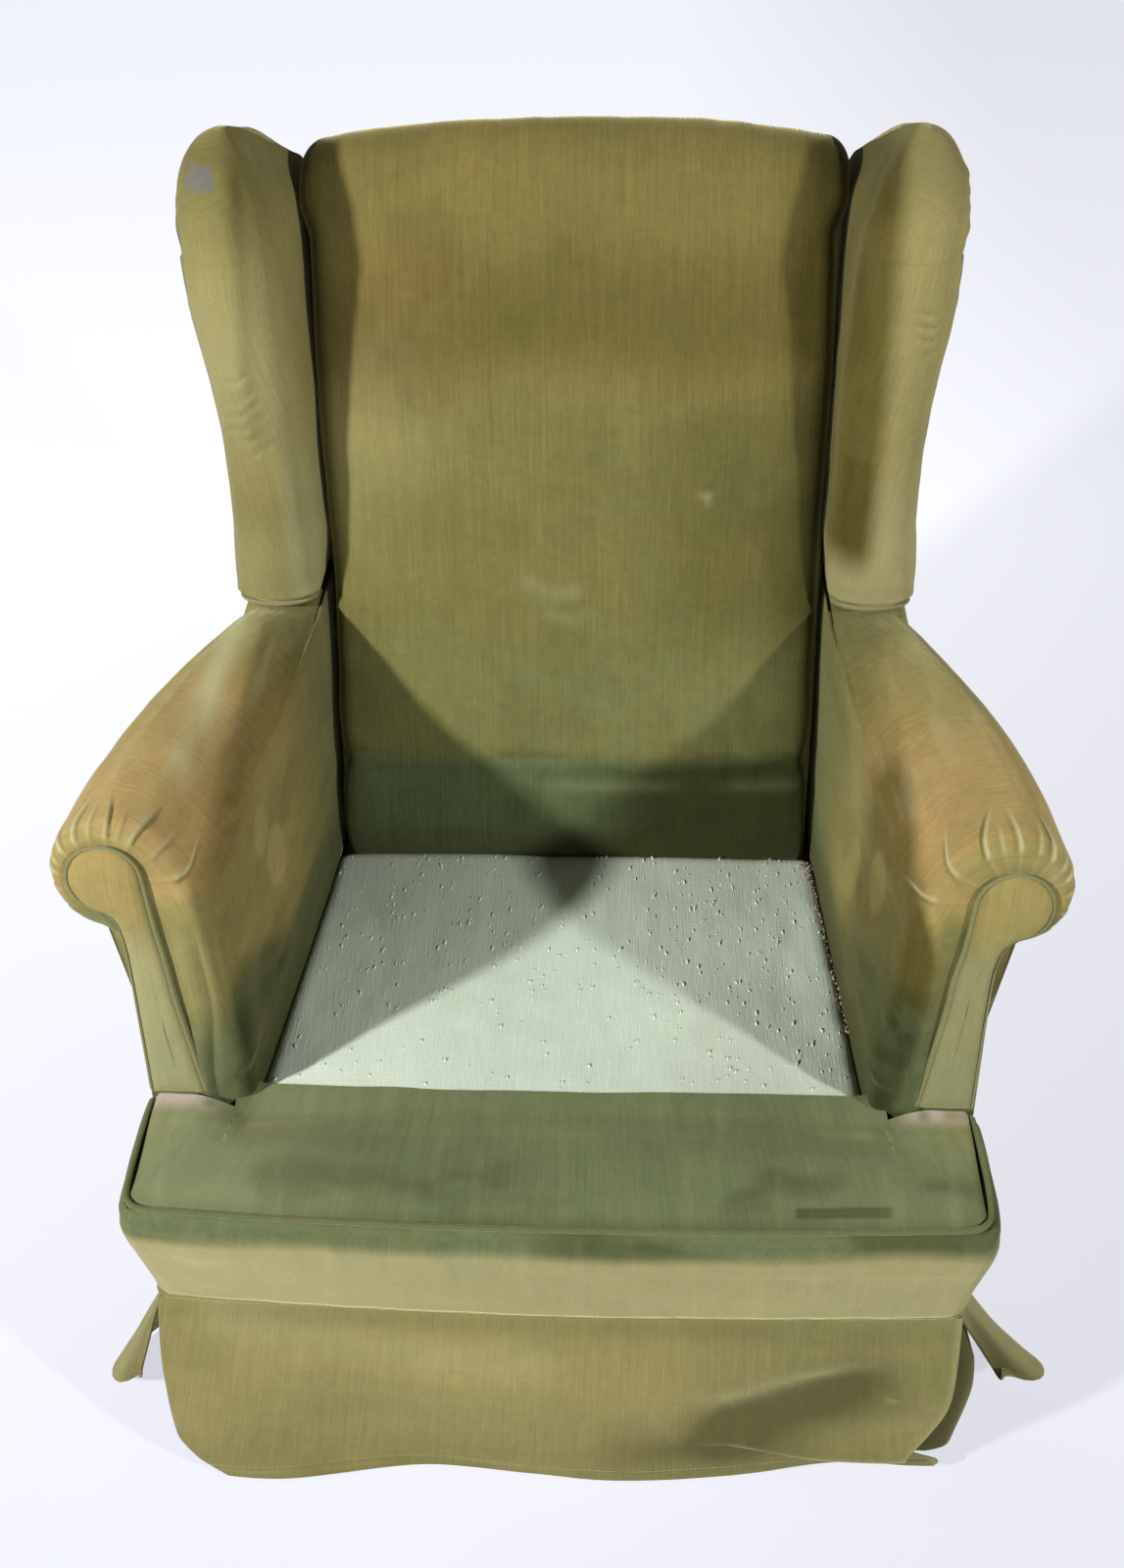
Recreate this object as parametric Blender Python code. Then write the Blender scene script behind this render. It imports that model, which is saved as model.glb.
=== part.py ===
"""An old wing armchair with rolled arms, a skirt, and its loose seat cushion missing.

Frame: +Z up, the chair faces -Y, and the origin is on the floor under the middle of the chair.
The beech frame is built first, then the webbing, then the pads and covers that hide it.
Side pieces are made for side = +1 (x > 0, "right") and side = -1 ("left").
"""

import math

import bmesh
import bpy
from mathutils import Vector

# ---------------------------------------------------------------- driving dimensions, metres
GAP = 0.0003                # what touching pieces keep between them
CLOTH_GAP = 0.0005          # between a cover and the frame it is tacked to

FRONT_Y = -0.345            # front face of the front rail and legs
REAR_Y = 0.236              # rear face of the rear rail
HALF_FRONT = 0.350          # half width over the side rails, at the front
HALF_REAR = 0.305           # and at the rear
LEG = 0.045
FOOT = 0.036
RAIL_BOTTOM = 0.200
RAIL_TOP = 0.290
RAIL_THICK = 0.028
BLOCK_BOTTOM = 0.232        # corner blocks
BLOCK_TOP = 0.272
BLOCK_REACH = 0.065

POST_INNER = 0.264          # back posts
POST_OUTER = 0.300
POST_Y = 0.200              # front face of a post, at the seat
POST_DEPTH = 0.036
POST_BEND = 0.300           # above this height the post leans back
POST_TOP = 0.935
BACK_LEAN = 0.2326          # how far back it leans for each metre of height
FOOT_RAKE = 0.125           # how far back the rear foot stands, for each metre below the rail
TOP_RAIL_LOW = 0.885
LOWER_RAIL_BOTTOM = 0.310   # lower back rail and lower arm rails
LOWER_RAIL_TOP = 0.335
LOWER_BACK_RAIL_TOP = 0.360
LOWER_BACK_RAIL_DEPTH = 0.024

ARM_PLANE_Y = -0.199        # the leaning front plane of the arms, at ARM_PLANE_Z
ARM_PLANE_Z = 0.577
ARM_PLANE_LEAN = 0.184
ARM_RAIL_BOTTOM = 0.565
ARM_RAIL_TOP = 0.585
ARM_FRONT_SKIN = 0.012      # padding between the arm's front plane and the stump
STUMP_DEPTH = 0.040
STUMP_INNER_LOW = 0.3110
STUMP_INNER_HIGH = 0.3200
ROLL_X = 0.369              # centre of the scroll, at the front
ROLL_Z = 0.577
ROLL_RADIUS = 0.050
ARM_TOP_REAR = 0.600
ARM_BOTTOM_FRONT = 0.3640
ARM_BOTTOM_REAR = 0.315
PANEL_THICK = 0.008         # outside arm and outside wing, board and wadding and cover
PANEL_LAP = 0.0055          # how far those panels run past the back posts
BACK_PANEL_THICK = 0.005

FACING_RADIUS = 0.030
FACING_THICK = 0.008
FACING_BOTTOM = 0.3650
FACING_Z = {1: 0.569, -1: 0.582}  # the chair has racked: its right facing sits lower

WING_BOTTOM = 0.6005
WING_POST_Y = 0.205
WING_POST_DEPTH = 0.030
WING_POST_THICK = 0.026
WING_RAIL_TOP = 0.940
WING_RAIL_BOTTOM = 0.912

BACK_HALF = 0.2395
BACK_ARCH = 0.024           # rise of the arched top, middle over corners
TOP_RAIL_MIDDLE = 0.964
OUTSIDE_TOP = 0.940         # top edge of the outside back

SEAM_Z = 0.2205             # lower edge of every outside cover, where the skirt starts
BORDER_TOP = 0.339
LIP_BOTTOM = 0.2962
LIP_REAR = -0.227
LIP_SHOULDER_Y = -0.2467    # rear edge of the lip in front of the arms
FRONT_BOW = 0.010           # how far the front bows out in the middle

PIPING_RADIUS = 0.0038
FINE_PIPING_RADIUS = 0.0032
STRAP_WIDTH = 0.050
STRAP_THICK = 0.0025
STRAP_X = (-0.195, -0.065, 0.065, 0.195)
SEAT_SAG = 0.018
SKIRT_THICK = 0.0025
SKIRT_TOP = 0.2118
HEM_Z = 0.0015

COLOURS = {
    "beech": (0.55, 0.36, 0.19, 0.55),
    "webbing": (0.30, 0.22, 0.14, 0.90),
    "hessian": (0.42, 0.32, 0.20, 0.95),
    "dust_cloth": (0.05, 0.05, 0.05, 0.95),
    "platform_cloth": (0.46, 0.57, 0.46, 0.92),
    "velour": (0.27, 0.23, 0.07, 0.85),
    "velour_green": (0.12, 0.19, 0.07, 0.85),
    "piping": (0.28, 0.27, 0.11, 0.85),
}


# ---------------------------------------------------------------- helpers
def clear_scene():
    for obj in list(bpy.data.objects):
        bpy.data.objects.remove(obj, do_unlink=True)


def make_material(name):
    red, green, blue, roughness = COLOURS[name]
    mat = bpy.data.materials.new(name)
    mat.use_nodes = True
    shader = mat.node_tree.nodes["Principled BSDF"]
    shader.inputs["Base Color"].default_value = (red, green, blue, 1.0)
    shader.inputs["Roughness"].default_value = roughness
    shader.inputs["Metallic"].default_value = 0.0
    return mat


def side_name(side):
    return "right" if side > 0 else "left"


def add_solid(name, points, faces, material):
    """A closed mesh object with its faces turned outwards."""
    mesh = bpy.data.meshes.new(name)
    mesh.from_pydata([tuple(p) for p in points], [], faces)
    work = bmesh.new()
    work.from_mesh(mesh)
    bmesh.ops.recalc_face_normals(work, faces=work.faces)
    work.to_mesh(mesh)
    work.free()
    mesh.materials.append(MATERIALS[material])
    mesh.shade_smooth()
    mesh.set_sharp_from_angle(angle=math.radians(40))
    obj = bpy.data.objects.new(name, mesh)
    bpy.context.collection.objects.link(obj)
    return obj


def loft(name, rings, material):
    """A solid through closed rings of points, capped at both ends."""
    count = len(rings[0])
    points = [p for ring in rings for p in ring]
    faces = []
    for r in range(len(rings) - 1):
        low, high = r * count, (r + 1) * count
        for i in range(count):
            j = (i + 1) % count
            faces.append((low + i, low + j, high + j, high + i))
    faces.append(tuple(range(count - 1, -1, -1)))
    faces.append(tuple(range(len(points) - count, len(points))))
    return add_solid(name, points, faces, material)


def prism(name, lower, upper, material):
    """A solid between two outlines with the same number of corners."""
    return loft(name, [lower, upper], material)


def rect(x0, x1, y0, y1, z):
    return [(x0, y0, z), (x1, y0, z), (x1, y1, z), (x0, y1, z)]


def sheet(name, grid, thickness, material):
    """A closed sheet: grid[row][column] is its middle surface."""
    rows, columns = len(grid), len(grid[0])
    normals = []
    for r in range(rows):
        for c in range(columns):
            along = Vector(grid[r][min(c + 1, columns - 1)]) - Vector(grid[r][max(c - 1, 0)])
            down = Vector(grid[min(r + 1, rows - 1)][c]) - Vector(grid[max(r - 1, 0)][c])
            normals.append(along.cross(down).normalized() * (thickness / 2))
    flat = [Vector(p) for row in grid for p in row]
    points = [p + n for p, n in zip(flat, normals)] + [p - n for p, n in zip(flat, normals)]
    back = rows * columns
    faces = []
    for r in range(rows - 1):
        for c in range(columns - 1):
            a = r * columns + c
            b, d = a + 1, a + columns
            faces.append((a, b, d + 1, d))
            faces.append((back + a, back + d, back + d + 1, back + b))
    rim = [c for c in range(columns)]
    rim += [r * columns + columns - 1 for r in range(1, rows)]
    rim += [(rows - 1) * columns + c for c in range(columns - 2, -1, -1)]
    rim += [r * columns for r in range(rows - 2, 0, -1)]
    for k, a in enumerate(rim):
        b = rim[(k + 1) % len(rim)]
        faces.append((a, back + a, back + b, b))
    return add_solid(name, points, faces, material)


def slab(name, lower, upper, material):
    """A closed solid between two grids of points that share their layout."""
    rows, columns = len(lower), len(lower[0])
    points = [p for row in upper for p in row] + [p for row in lower for p in row]
    back = rows * columns
    faces = []
    for r in range(rows - 1):
        for c in range(columns - 1):
            a = r * columns + c
            faces.append((a, a + 1, a + columns + 1, a + columns))
            faces.append((back + a, back + a + columns, back + a + columns + 1, back + a + 1))
    rim = [c for c in range(columns)]
    rim += [r * columns + columns - 1 for r in range(1, rows)]
    rim += [(rows - 1) * columns + c for c in range(columns - 2, -1, -1)]
    rim += [r * columns for r in range(rows - 2, 0, -1)]
    for k, a in enumerate(rim):
        b = rim[(k + 1) % len(rim)]
        faces.append((a, back + a, back + b, b))
    return add_solid(name, points, faces, material)


def cord(name, points, radius, material, closed=False):
    """A round piping cord along points."""
    curve = bpy.data.curves.new(name, "CURVE")
    curve.dimensions = "3D"
    curve.bevel_depth = radius
    curve.bevel_resolution = 1
    curve.use_fill_caps = True
    curve.materials.append(MATERIALS[material])
    spline = curve.splines.new("POLY")
    spline.points.add(len(points) - 1)
    for place, point in zip(spline.points, points):
        place.co = (*point, 1.0)
    spline.use_cyclic_u = closed
    spline.use_smooth = True
    obj = bpy.data.objects.new(name, curve)
    bpy.context.collection.objects.link(obj)
    return obj


def subtract(target, cutter, solver="EXACT"):
    """Cut cutter out of target, and leave cutter as a hidden guide."""
    cutter.hide_render = True
    cutter.display_type = "WIRE"
    cut = target.modifiers.new(cutter.name, "BOOLEAN")
    cut.operation = "DIFFERENCE"
    cut.solver = solver
    cut.object = cutter


def along(table, t):
    """Value at t of a table of (t, value) pairs, joined by straight lines."""
    if t <= table[0][0]:
        return table[0][1]
    for (t0, v0), (t1, v1) in zip(table, table[1:]):
        if t <= t1:
            return v0 + (v1 - v0) * (t - t0) / (t1 - t0)
    return table[-1][1]


def mix(a, b, t):
    return a + (b - a) * t


def spread(start, end, count):
    return [start + (end - start) * i / (count - 1) for i in range(count)]


def mirrored(points, side):
    return [(side * x, y, z) for x, y, z in points]


# ---------------------------------------------------------------- shared lines of the chair
def side_x(y):
    """Outer face of the side rails."""
    return mix(HALF_FRONT, HALF_REAR, (y - FRONT_Y) / (REAR_Y - FRONT_Y))


def post_y(z):
    """Front face of the back posts."""
    if z > POST_BEND:
        return POST_Y + BACK_LEAN * (z - POST_BEND)
    return POST_Y + FOOT_RAKE * max(RAIL_BOTTOM - z, 0.0)


def arm_front_y(z):
    """The leaning plane that the arms end in."""
    return ARM_PLANE_Y + ARM_PLANE_LEAN * (z - ARM_PLANE_Z)


def arch(x):
    """1 in the middle of the back and 0 at its corners."""
    return 1.0 - (x / BACK_HALF) ** 2


# ---------------------------------------------------------------- beech frame
def make_front_leg(side):
    outer = side_x(FRONT_Y + LEG)
    inner = outer - LEG
    foot_inner, foot_outer = outer - (LEG + FOOT) / 2, outer - (LEG - FOOT) / 2
    foot_front = FRONT_Y + (LEG - FOOT) / 2
    rings = [
        rect(foot_inner, foot_outer, foot_front, foot_front + FOOT, 0.0),
        rect(inner, outer, FRONT_Y, FRONT_Y + LEG, RAIL_BOTTOM - 0.03),
        rect(inner, outer, FRONT_Y, FRONT_Y + LEG, RAIL_TOP),
    ]
    loft(f"front_leg_{side_name(side)}", [mirrored(r, side) for r in rings], "beech")


def post_ring(z, grow=0.0):
    front = post_y(z) - grow
    return rect(POST_INNER - grow, POST_OUTER + grow, front, front + POST_DEPTH + 2 * grow, z)


def make_back_post(side):
    heights = (0.0, RAIL_BOTTOM, POST_BEND, POST_TOP)
    rings = [mirrored(post_ring(z), side) for z in heights]
    loft(f"back_post_{side_name(side)}", rings, "beech")


def make_cross_rails():
    inner = side_x(FRONT_Y + LEG) - LEG - GAP
    prism(
        "front_rail",
        rect(-inner, inner, FRONT_Y, FRONT_Y + RAIL_THICK, RAIL_BOTTOM),
        rect(-inner, inner, FRONT_Y, FRONT_Y + RAIL_THICK, RAIL_TOP),
        "beech",
    )
    inner = POST_INNER - GAP
    prism(
        "rear_rail",
        rect(-inner, inner, REAR_Y - RAIL_THICK, REAR_Y, RAIL_BOTTOM),
        rect(-inner, inner, REAR_Y - RAIL_THICK, REAR_Y, RAIL_TOP),
        "beech",
    )


def make_side_rail(side):
    y0, y1 = FRONT_Y + LEG + GAP, POST_Y - GAP
    outline = [
        (side_x(y0) - RAIL_THICK, y0),
        (side_x(y0), y0),
        (side_x(y1), y1),
        (side_x(y1) - RAIL_THICK, y1),
    ]
    lower = [(side * x, y, RAIL_BOTTOM) for x, y in outline]
    upper = [(side * x, y, RAIL_TOP) for x, y in outline]
    prism(f"side_rail_{side_name(side)}", lower, upper, "beech")


def make_corner_blocks(side):
    leg_inner = side_x(FRONT_Y + LEG) - LEG - GAP
    leg_rear = FRONT_Y + LEG + GAP
    rail_rear = FRONT_Y + RAIL_THICK + GAP
    end = leg_rear + BLOCK_REACH
    front = [
        (leg_inner - BLOCK_REACH, rail_rear),
        (leg_inner, rail_rear),
        (leg_inner, leg_rear),
        (side_x(leg_rear) - RAIL_THICK - GAP, leg_rear),
        (side_x(end) - RAIL_THICK - GAP, end),
    ]
    rail_front = REAR_Y - RAIL_THICK - GAP
    post_inner = POST_INNER - GAP
    post_front = POST_Y - GAP
    start = post_front - BLOCK_REACH
    rear = [
        (side_x(start) - RAIL_THICK - GAP, start),
        (side_x(post_front) - RAIL_THICK - GAP, post_front),
        (post_inner, post_front),
        (post_inner, rail_front),
        (post_inner - BLOCK_REACH, rail_front),
    ]
    for place, outline in (("front", front), ("rear", rear)):
        lower = [(side * x, y, BLOCK_BOTTOM) for x, y in outline]
        upper = [(side * x, y, BLOCK_TOP) for x, y in outline]
        prism(f"corner_block_{place}_{side_name(side)}", lower, upper, "beech")


def stump_ring(z):
    """The arm stump leans back with the arm front, and outwards a little."""
    t = (z - RAIL_TOP) / (ARM_RAIL_BOTTOM - RAIL_TOP)
    inner = mix(STUMP_INNER_LOW, STUMP_INNER_HIGH, t)
    front = arm_front_y(z) + ARM_FRONT_SKIN
    return rect(inner, inner + RAIL_THICK, front, front + STUMP_DEPTH, z)


def make_arm_stump(side):
    rings = [stump_ring(RAIL_TOP + GAP), stump_ring(ARM_RAIL_BOTTOM - GAP)]
    loft(f"arm_stump_{side_name(side)}", [mirrored(r, side) for r in rings], "beech")


RAIL_JOINT_INNER = 0.2745   # rails meet the front of a back post between here and its outer face
ARM_RAIL_FRONT = (0.325, 0.385)


def arm_rail_limits(y):
    """Inner and outer edge of the arm rail, which narrows from the front to the back post."""
    front = arm_front_y(ARM_RAIL_BOTTOM) + ARM_FRONT_SKIN
    t = min((y - front) / (post_y(ARM_RAIL_BOTTOM) - front), 1.0)
    return mix(ARM_RAIL_FRONT[0], RAIL_JOINT_INNER, t), mix(ARM_RAIL_FRONT[1], POST_OUTER, t)


def make_arm_rail(side):
    rings = []
    for z in (ARM_RAIL_BOTTOM, ARM_RAIL_TOP):
        front, rear = arm_front_y(z) + ARM_FRONT_SKIN, post_y(z) - GAP
        (in0, out0), (in1, out1) = arm_rail_limits(front), arm_rail_limits(rear)
        rings.append([(in0, front, z), (out0, front, z), (out1, rear, z), (in1, rear, z)])
    loft(f"arm_rail_{side_name(side)}", [mirrored(r, side) for r in rings], "beech")


def make_lower_arm_rail(side):
    rings = []
    inner = STUMP_INNER_LOW + 0.0022
    outer = STUMP_INNER_LOW + RAIL_THICK + 0.0005
    for z in (LOWER_RAIL_BOTTOM, LOWER_RAIL_TOP):
        front = arm_front_y(z) + ARM_FRONT_SKIN + STUMP_DEPTH + GAP
        rear = post_y(z) - GAP
        rings.append([(inner, front, z), (outer, front, z),
                      (POST_OUTER, rear, z), (RAIL_JOINT_INNER, rear, z)])
    loft(f"lower_arm_rail_{side_name(side)}", [mirrored(r, side) for r in rings], "beech")


WING_POST_INNER = [(0.58, 0.290), (0.66, 0.286), (0.75, 0.286), (0.82, 0.291), (0.90, 0.302),
                   (1.0, 0.302)]
WING_POST_LEVELS = (0.66, 0.75, 0.82, 0.90)


def wing_post_ring(z, grow=0.0):
    inner = along(WING_POST_INNER, z) - grow
    outer = inner + WING_POST_THICK + 2 * grow
    return rect(inner, outer, WING_POST_Y - grow, WING_POST_Y + WING_POST_DEPTH + grow, z)


def make_wing_post(side):
    heights = (ARM_RAIL_TOP + GAP, *WING_POST_LEVELS, WING_RAIL_TOP)
    rings = [mirrored(wing_post_ring(z), side) for z in heights]
    loft(f"wing_post_{side_name(side)}", rings, "beech")


def make_wing_rail(side):
    front = WING_POST_Y + WING_POST_DEPTH + GAP
    inner = along(WING_POST_INNER, WING_RAIL_TOP)
    rings = []
    for z in (WING_RAIL_BOTTOM, WING_RAIL_TOP - 0.008):
        rear = post_y(z) - GAP
        rings.append([(inner, front, z), (inner + WING_POST_THICK, front, z),
                      (POST_OUTER, rear, z), (RAIL_JOINT_INNER, rear, z)])
    loft(f"wing_rail_{side_name(side)}", [mirrored(r, side) for r in rings], "beech")


def top_rail_z(x):
    return TOP_RAIL_MIDDLE - BACK_ARCH * (1.0 - arch(x))


def make_back_rails():
    half = POST_INNER - GAP
    rings = []
    for x in spread(-half, half, 9):
        low, high = TOP_RAIL_LOW, top_rail_z(x)
        rings.append([
            (x, post_y(low), low),
            (x, post_y(low) + POST_DEPTH, low),
            (x, post_y(high) + POST_DEPTH, high),
            (x, post_y(high), high),
        ])
    loft("top_back_rail", rings, "beech")
    rings = []
    for z in (LOWER_RAIL_BOTTOM, LOWER_BACK_RAIL_TOP):
        rings.append(rect(-half, half, post_y(z), post_y(z) + LOWER_BACK_RAIL_DEPTH, z))
    loft("lower_back_rail", rings, "beech")


def make_frame():
    make_cross_rails()
    make_back_rails()
    for side in (1, -1):
        make_front_leg(side)
        make_back_post(side)
        make_side_rail(side)
        make_corner_blocks(side)
        make_arm_stump(side)
        make_arm_rail(side)
        make_lower_arm_rail(side)
        make_wing_post(side)
        make_wing_rail(side)


# ---------------------------------------------------------------- webbing and hessian
def seat_sag(y):
    """How far the worn webbing has dropped between the front and rear rails."""
    front, rear = FRONT_Y + RAIL_THICK, REAR_Y - RAIL_THICK
    t = min(max((y - front) / (rear - front), 0.0), 1.0)
    return SEAT_SAG * math.sin(math.pi * t)


SEAT_STATIONS = [-0.342, -0.317, -0.26, -0.20, -0.12, -0.04, 0.04, 0.12, 0.17, 0.208, 0.233]


def make_seat_straps():
    for number, x in enumerate(STRAP_X, start=1):
        rings = []
        for y in SEAT_STATIONS:
            low = RAIL_TOP + GAP - seat_sag(y)
            half = STRAP_WIDTH / 2
            rings.append([(x - half, y, low), (x + half, y, low),
                          (x + half, y, low + STRAP_THICK), (x - half, y, low + STRAP_THICK)])
        loft(f"seat_strap_{number}", rings, "webbing")


HESSIAN_LOW = RAIL_TOP + 2 * GAP + STRAP_THICK
HESSIAN_THICK = 0.0018


def hessian_half(y):
    """Inside the stumps at the sides, and inside the back posts at the rear."""
    return side_x(y) - RAIL_THICK - 0.0015 if y < 0.195 else POST_INNER - 0.002


def make_seat_hessian():
    stations = [y for y in SEAT_STATIONS if y < 0.19] + [0.194, 0.197, 0.208, 0.233]
    lower, upper = [], []
    for y in stations:
        z = HESSIAN_LOW - seat_sag(y)
        xs = spread(-hessian_half(y), hessian_half(y), 3)
        lower.append([(x, y, z) for x in xs])
        upper.append([(x, y, z + HESSIAN_THICK) for x in xs])
    slab("seat_hessian", lower, upper, "hessian")


def make_back_hessian():
    half = POST_INNER + 0.008
    lower, upper = [], []
    for z in (0.312, 0.50, 0.75, 0.933):
        lower.append([(x, post_y(z) - GAP, z) for x in (-half, half)])
        upper.append([(x, post_y(z) - 0.0022, z) for x in (-half, half)])
    slab("back_hessian", lower, upper, "hessian")


def make_dust_cloth():
    """The black cloth under the seat, cut away round the legs."""
    top, thick = RAIL_BOTTOM - GAP, 0.0012
    margin = 0.004
    leg_x = side_x(FRONT_Y + LEG) - LEG - 0.001
    leg_y = FRONT_Y + LEG + 0.001
    post_x, post_front = POST_INNER - 0.001, POST_Y - 0.001
    right = [
        (leg_x, FRONT_Y + margin),
        (leg_x, leg_y),
        (side_x(leg_y) - margin, leg_y),
        (side_x(post_front) - margin, post_front),
        (post_x, post_front),
        (post_x, REAR_Y - margin),
    ]
    outline = right + [(-x, y) for x, y in reversed(right)]
    prism(
        "dust_cloth",
        [(x, y, top - thick) for x, y in outline],
        [(x, y, top) for x, y in outline],
        "dust_cloth",
    )


# ---------------------------------------------------------------- seat
DECK_REAR = 0.1185
DECK_LOW = 0.322            # height of the deck's sides, at the back
DECK_RISE = 0.008           # what they rise by towards the lip
DECK_CROWN = 0.026          # how far the middle of the deck stands up at the lip
DECK_HOLLOW = 0.012         # and how far it has sunk half way back
DECK_ROUND = 0.012          # rounding of the deck's rear edge in plan
SOFT_GAP = 0.0009           # between two soft pieces whose curved edges follow each other


def lip_rear_y(x):
    """Rear edge of the front lip, bowed forwards in the middle."""
    return LIP_REAR + 0.027 * min(abs(x) / 0.272, 1.0) ** 2


def arm_foot_x(y):
    """Inner face of the arm at the seat, closer together at the back."""
    return mix(0.2730, 0.2485, min((y + 0.2487) / 0.3687, 1.0))


def deck_half(y):
    return arm_foot_x(y) - SOFT_GAP


def deck_top(x, y):
    """Low and hollow behind, rising to the lip, and crowned across."""
    t = min(max((DECK_REAR - y) / (DECK_REAR - LIP_REAR), 0.0), 1.0)
    across = 1.0 - min(abs(x) / deck_half(y), 1.0) ** 2
    middle = DECK_CROWN * t ** 1.5 - DECK_HOLLOW * math.sin(math.pi * t)
    return DECK_LOW + DECK_RISE * t + across * middle


def make_seat_platform():
    lower, upper = [], []
    for t in spread(0.0, 1.0, 10):
        low_row, high_row = [], []
        for u in spread(-1.0, 1.0, 11):
            edge_y = mix(lip_rear_y(1.0), DECK_REAR - DECK_ROUND, t)
            x = u * deck_half(edge_y)
            y = mix(lip_rear_y(x) + SOFT_GAP, DECK_REAR - DECK_ROUND * u * u, t)
            low_row.append((x, y, HESSIAN_LOW + HESSIAN_THICK + SOFT_GAP - seat_sag(y)))
            high_row.append((x, y, deck_top(x, y)))
        lower.append(low_row)
        upper.append(high_row)
    slab("seat_platform", lower, upper, "platform_cloth")


def front_bow(x):
    return FRONT_BOW * (1.0 - min(abs(x) / HALF_FRONT, 1.0) ** 2)


LIP_SIDE = 0.0115           # how far the lip stands out over the side rails
LIP_EDGE_Z = 0.3435
LIP_REAR_Z = 0.3630         # under the arm facings
LIP_CROWN_Z = 0.3580
LIP_NECK = 0.268            # half width of the lip between the arms
LIP_LAP = 0.0015            # how far it laps over the border in front
LIP_CORNER = 0.012


def make_front_lip():
    """T-shaped: narrow between the arms, full width in front of them, lapped over the border."""
    half = HALF_FRONT + LIP_SIDE
    xs = [0.0, 0.07, 0.14, 0.20, 0.25, LIP_NECK, LIP_NECK + 0.0025, 0.31, half - LIP_CORNER, half]
    xs = [-x for x in reversed(xs)] + xs[1:]
    lap_z = BORDER_TOP + GAP
    rings = []
    for x in xs:
        inside = abs(x) <= LIP_NECK
        rear = lip_rear_y(x) if inside else LIP_SHOULDER_Y
        front = FRONT_Y - CLOTH_GAP - LIP_LAP - front_bow(x)
        corner = LIP_CORNER if abs(x) == half else 0.0
        edge = deck_top(x, rear) + 0.002 if inside else LIP_REAR_Z
        crown = LIP_CROWN_Z - 0.004 * (x / half) ** 2
        rear_x = x if inside else x * (side_x(rear) + LIP_SIDE) / half
        rings.append([
            (rear_x, rear, LIP_BOTTOM),
            (x, FRONT_Y + corner, LIP_BOTTOM),
            (x, FRONT_Y + corner, lap_z),
            (x, front + corner, lap_z),
            (x, front + corner, LIP_EDGE_Z + 0.001),
            (x, front + corner + 0.006, LIP_EDGE_Z + 0.0025),
            (mix(x, rear_x, 0.5), mix(front, rear, 0.5), crown),
            (rear_x, rear, max(edge, LIP_REAR_Z - 0.003)),
        ])
    loft("front_lip", rings, "velour_green")


BORDER_END = -0.2480         # where the border's side returns stop, in front of the outside arms


def seat_front_path(side_offset, front_offset, bow, corner):
    """Round the seat front, at offsets from the frame: left side, front, right side."""
    x0 = HALF_FRONT + side_offset
    y0 = FRONT_Y - front_offset
    half = [(side_x(BORDER_END) + side_offset, BORDER_END), (x0, y0 + 0.045)]
    for angle in (0, 22.5, 45, 67.5, 90):
        turn = math.radians(angle)
        half.append((x0 - corner + corner * math.cos(turn), y0 + corner - corner * math.sin(turn)))
    half += [(x, y0 - bow * (1 - (x / HALF_FRONT) ** 2)) for x in (0.29, 0.22, 0.15, 0.07)]
    return [(-x, y) for x, y in half] + [(0.0, y0 - bow)] + list(reversed(half))


# height, then how far the border stands out at the sides and at the front
BORDER_PROFILE = [(SEAM_Z, 0.0080, 0.0110), (0.250, 0.0110, 0.0125), (0.285, 0.0175, 0.0140),
                  (0.315, 0.0225, 0.0150), (0.331, 0.0220, 0.0120), (BORDER_TOP, 0.0185, 0.0075)]
BORDER_CORNER = 0.020


def make_front_border():
    """It lies on the rails below, and bulges out round the padded lip above them."""
    tight = 0.004
    beside_lip = LIP_SIDE + 0.001
    inners = [(BORDER_TOP, beside_lip, CLOTH_GAP), (LIP_BOTTOM - 0.0025, beside_lip, CLOTH_GAP),
              (RAIL_TOP + GAP, CLOTH_GAP, CLOTH_GAP), (SEAM_Z, CLOTH_GAP, CLOTH_GAP)]
    levels = [(z, seat_front_path(dx, dy, 0.0, tight)) for z, dx, dy in inners]
    for z, dx, dy in BORDER_PROFILE:
        levels.append((z, seat_front_path(dx, dy, FRONT_BOW, BORDER_CORNER)))
    count = len(levels[0][1])
    rings = [[(path[k][0], path[k][1], z) for z, path in levels] for k in range(count)]
    loft("front_border", rings, "velour")


def make_lip_piping():
    side_offset, front_offset = 0.0168, 0.0067
    z = BORDER_TOP + 0.0004 + PIPING_RADIUS
    path = seat_front_path(side_offset, front_offset, FRONT_BOW, BORDER_CORNER)
    points = [(x, y, z) for x, y in path]
    cord("lip_piping", points, PIPING_RADIUS, "piping")


# ---------------------------------------------------------------- arms
WING_FOOT_T = 0.78          # from here back the arm runs level under the wing
ARM_SWELL = 1.9             # the arms bow outwards between the wing and the scroll


def arm_shape(t, inset):
    """Values of the arm's cross-section: t = 0 at the front, 1 at the back post."""
    s = min(t / WING_FOOT_T, 1.0)
    swell = s ** ARM_SWELL
    roll_x, roll_z = mix(ROLL_X, 0.304, swell), mix(ROLL_Z, ARM_TOP_REAR - 0.023, s)
    radius = mix(ROLL_RADIUS, 0.0225, swell) - inset
    bottom = mix(ARM_BOTTOM_FRONT, ARM_BOTTOM_REAR, min(4 * t, 1.0))
    foot = arm_foot_x(arm_station_y(t, bottom))
    return {
        "inner_low": foot + inset,
        "inner_high": mix(0.2890, 0.2470, s) + inset,
        "shoulder_z": mix(0.520, 0.580, s),
        "roll": (roll_x, roll_z, radius),
        "roll_end": math.radians(mix(-78.0, -10.0, s)),
        "under_z": mix(0.5195, 0.5605, s) + inset * 0.5,
        "bottom": bottom,
    }


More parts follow.
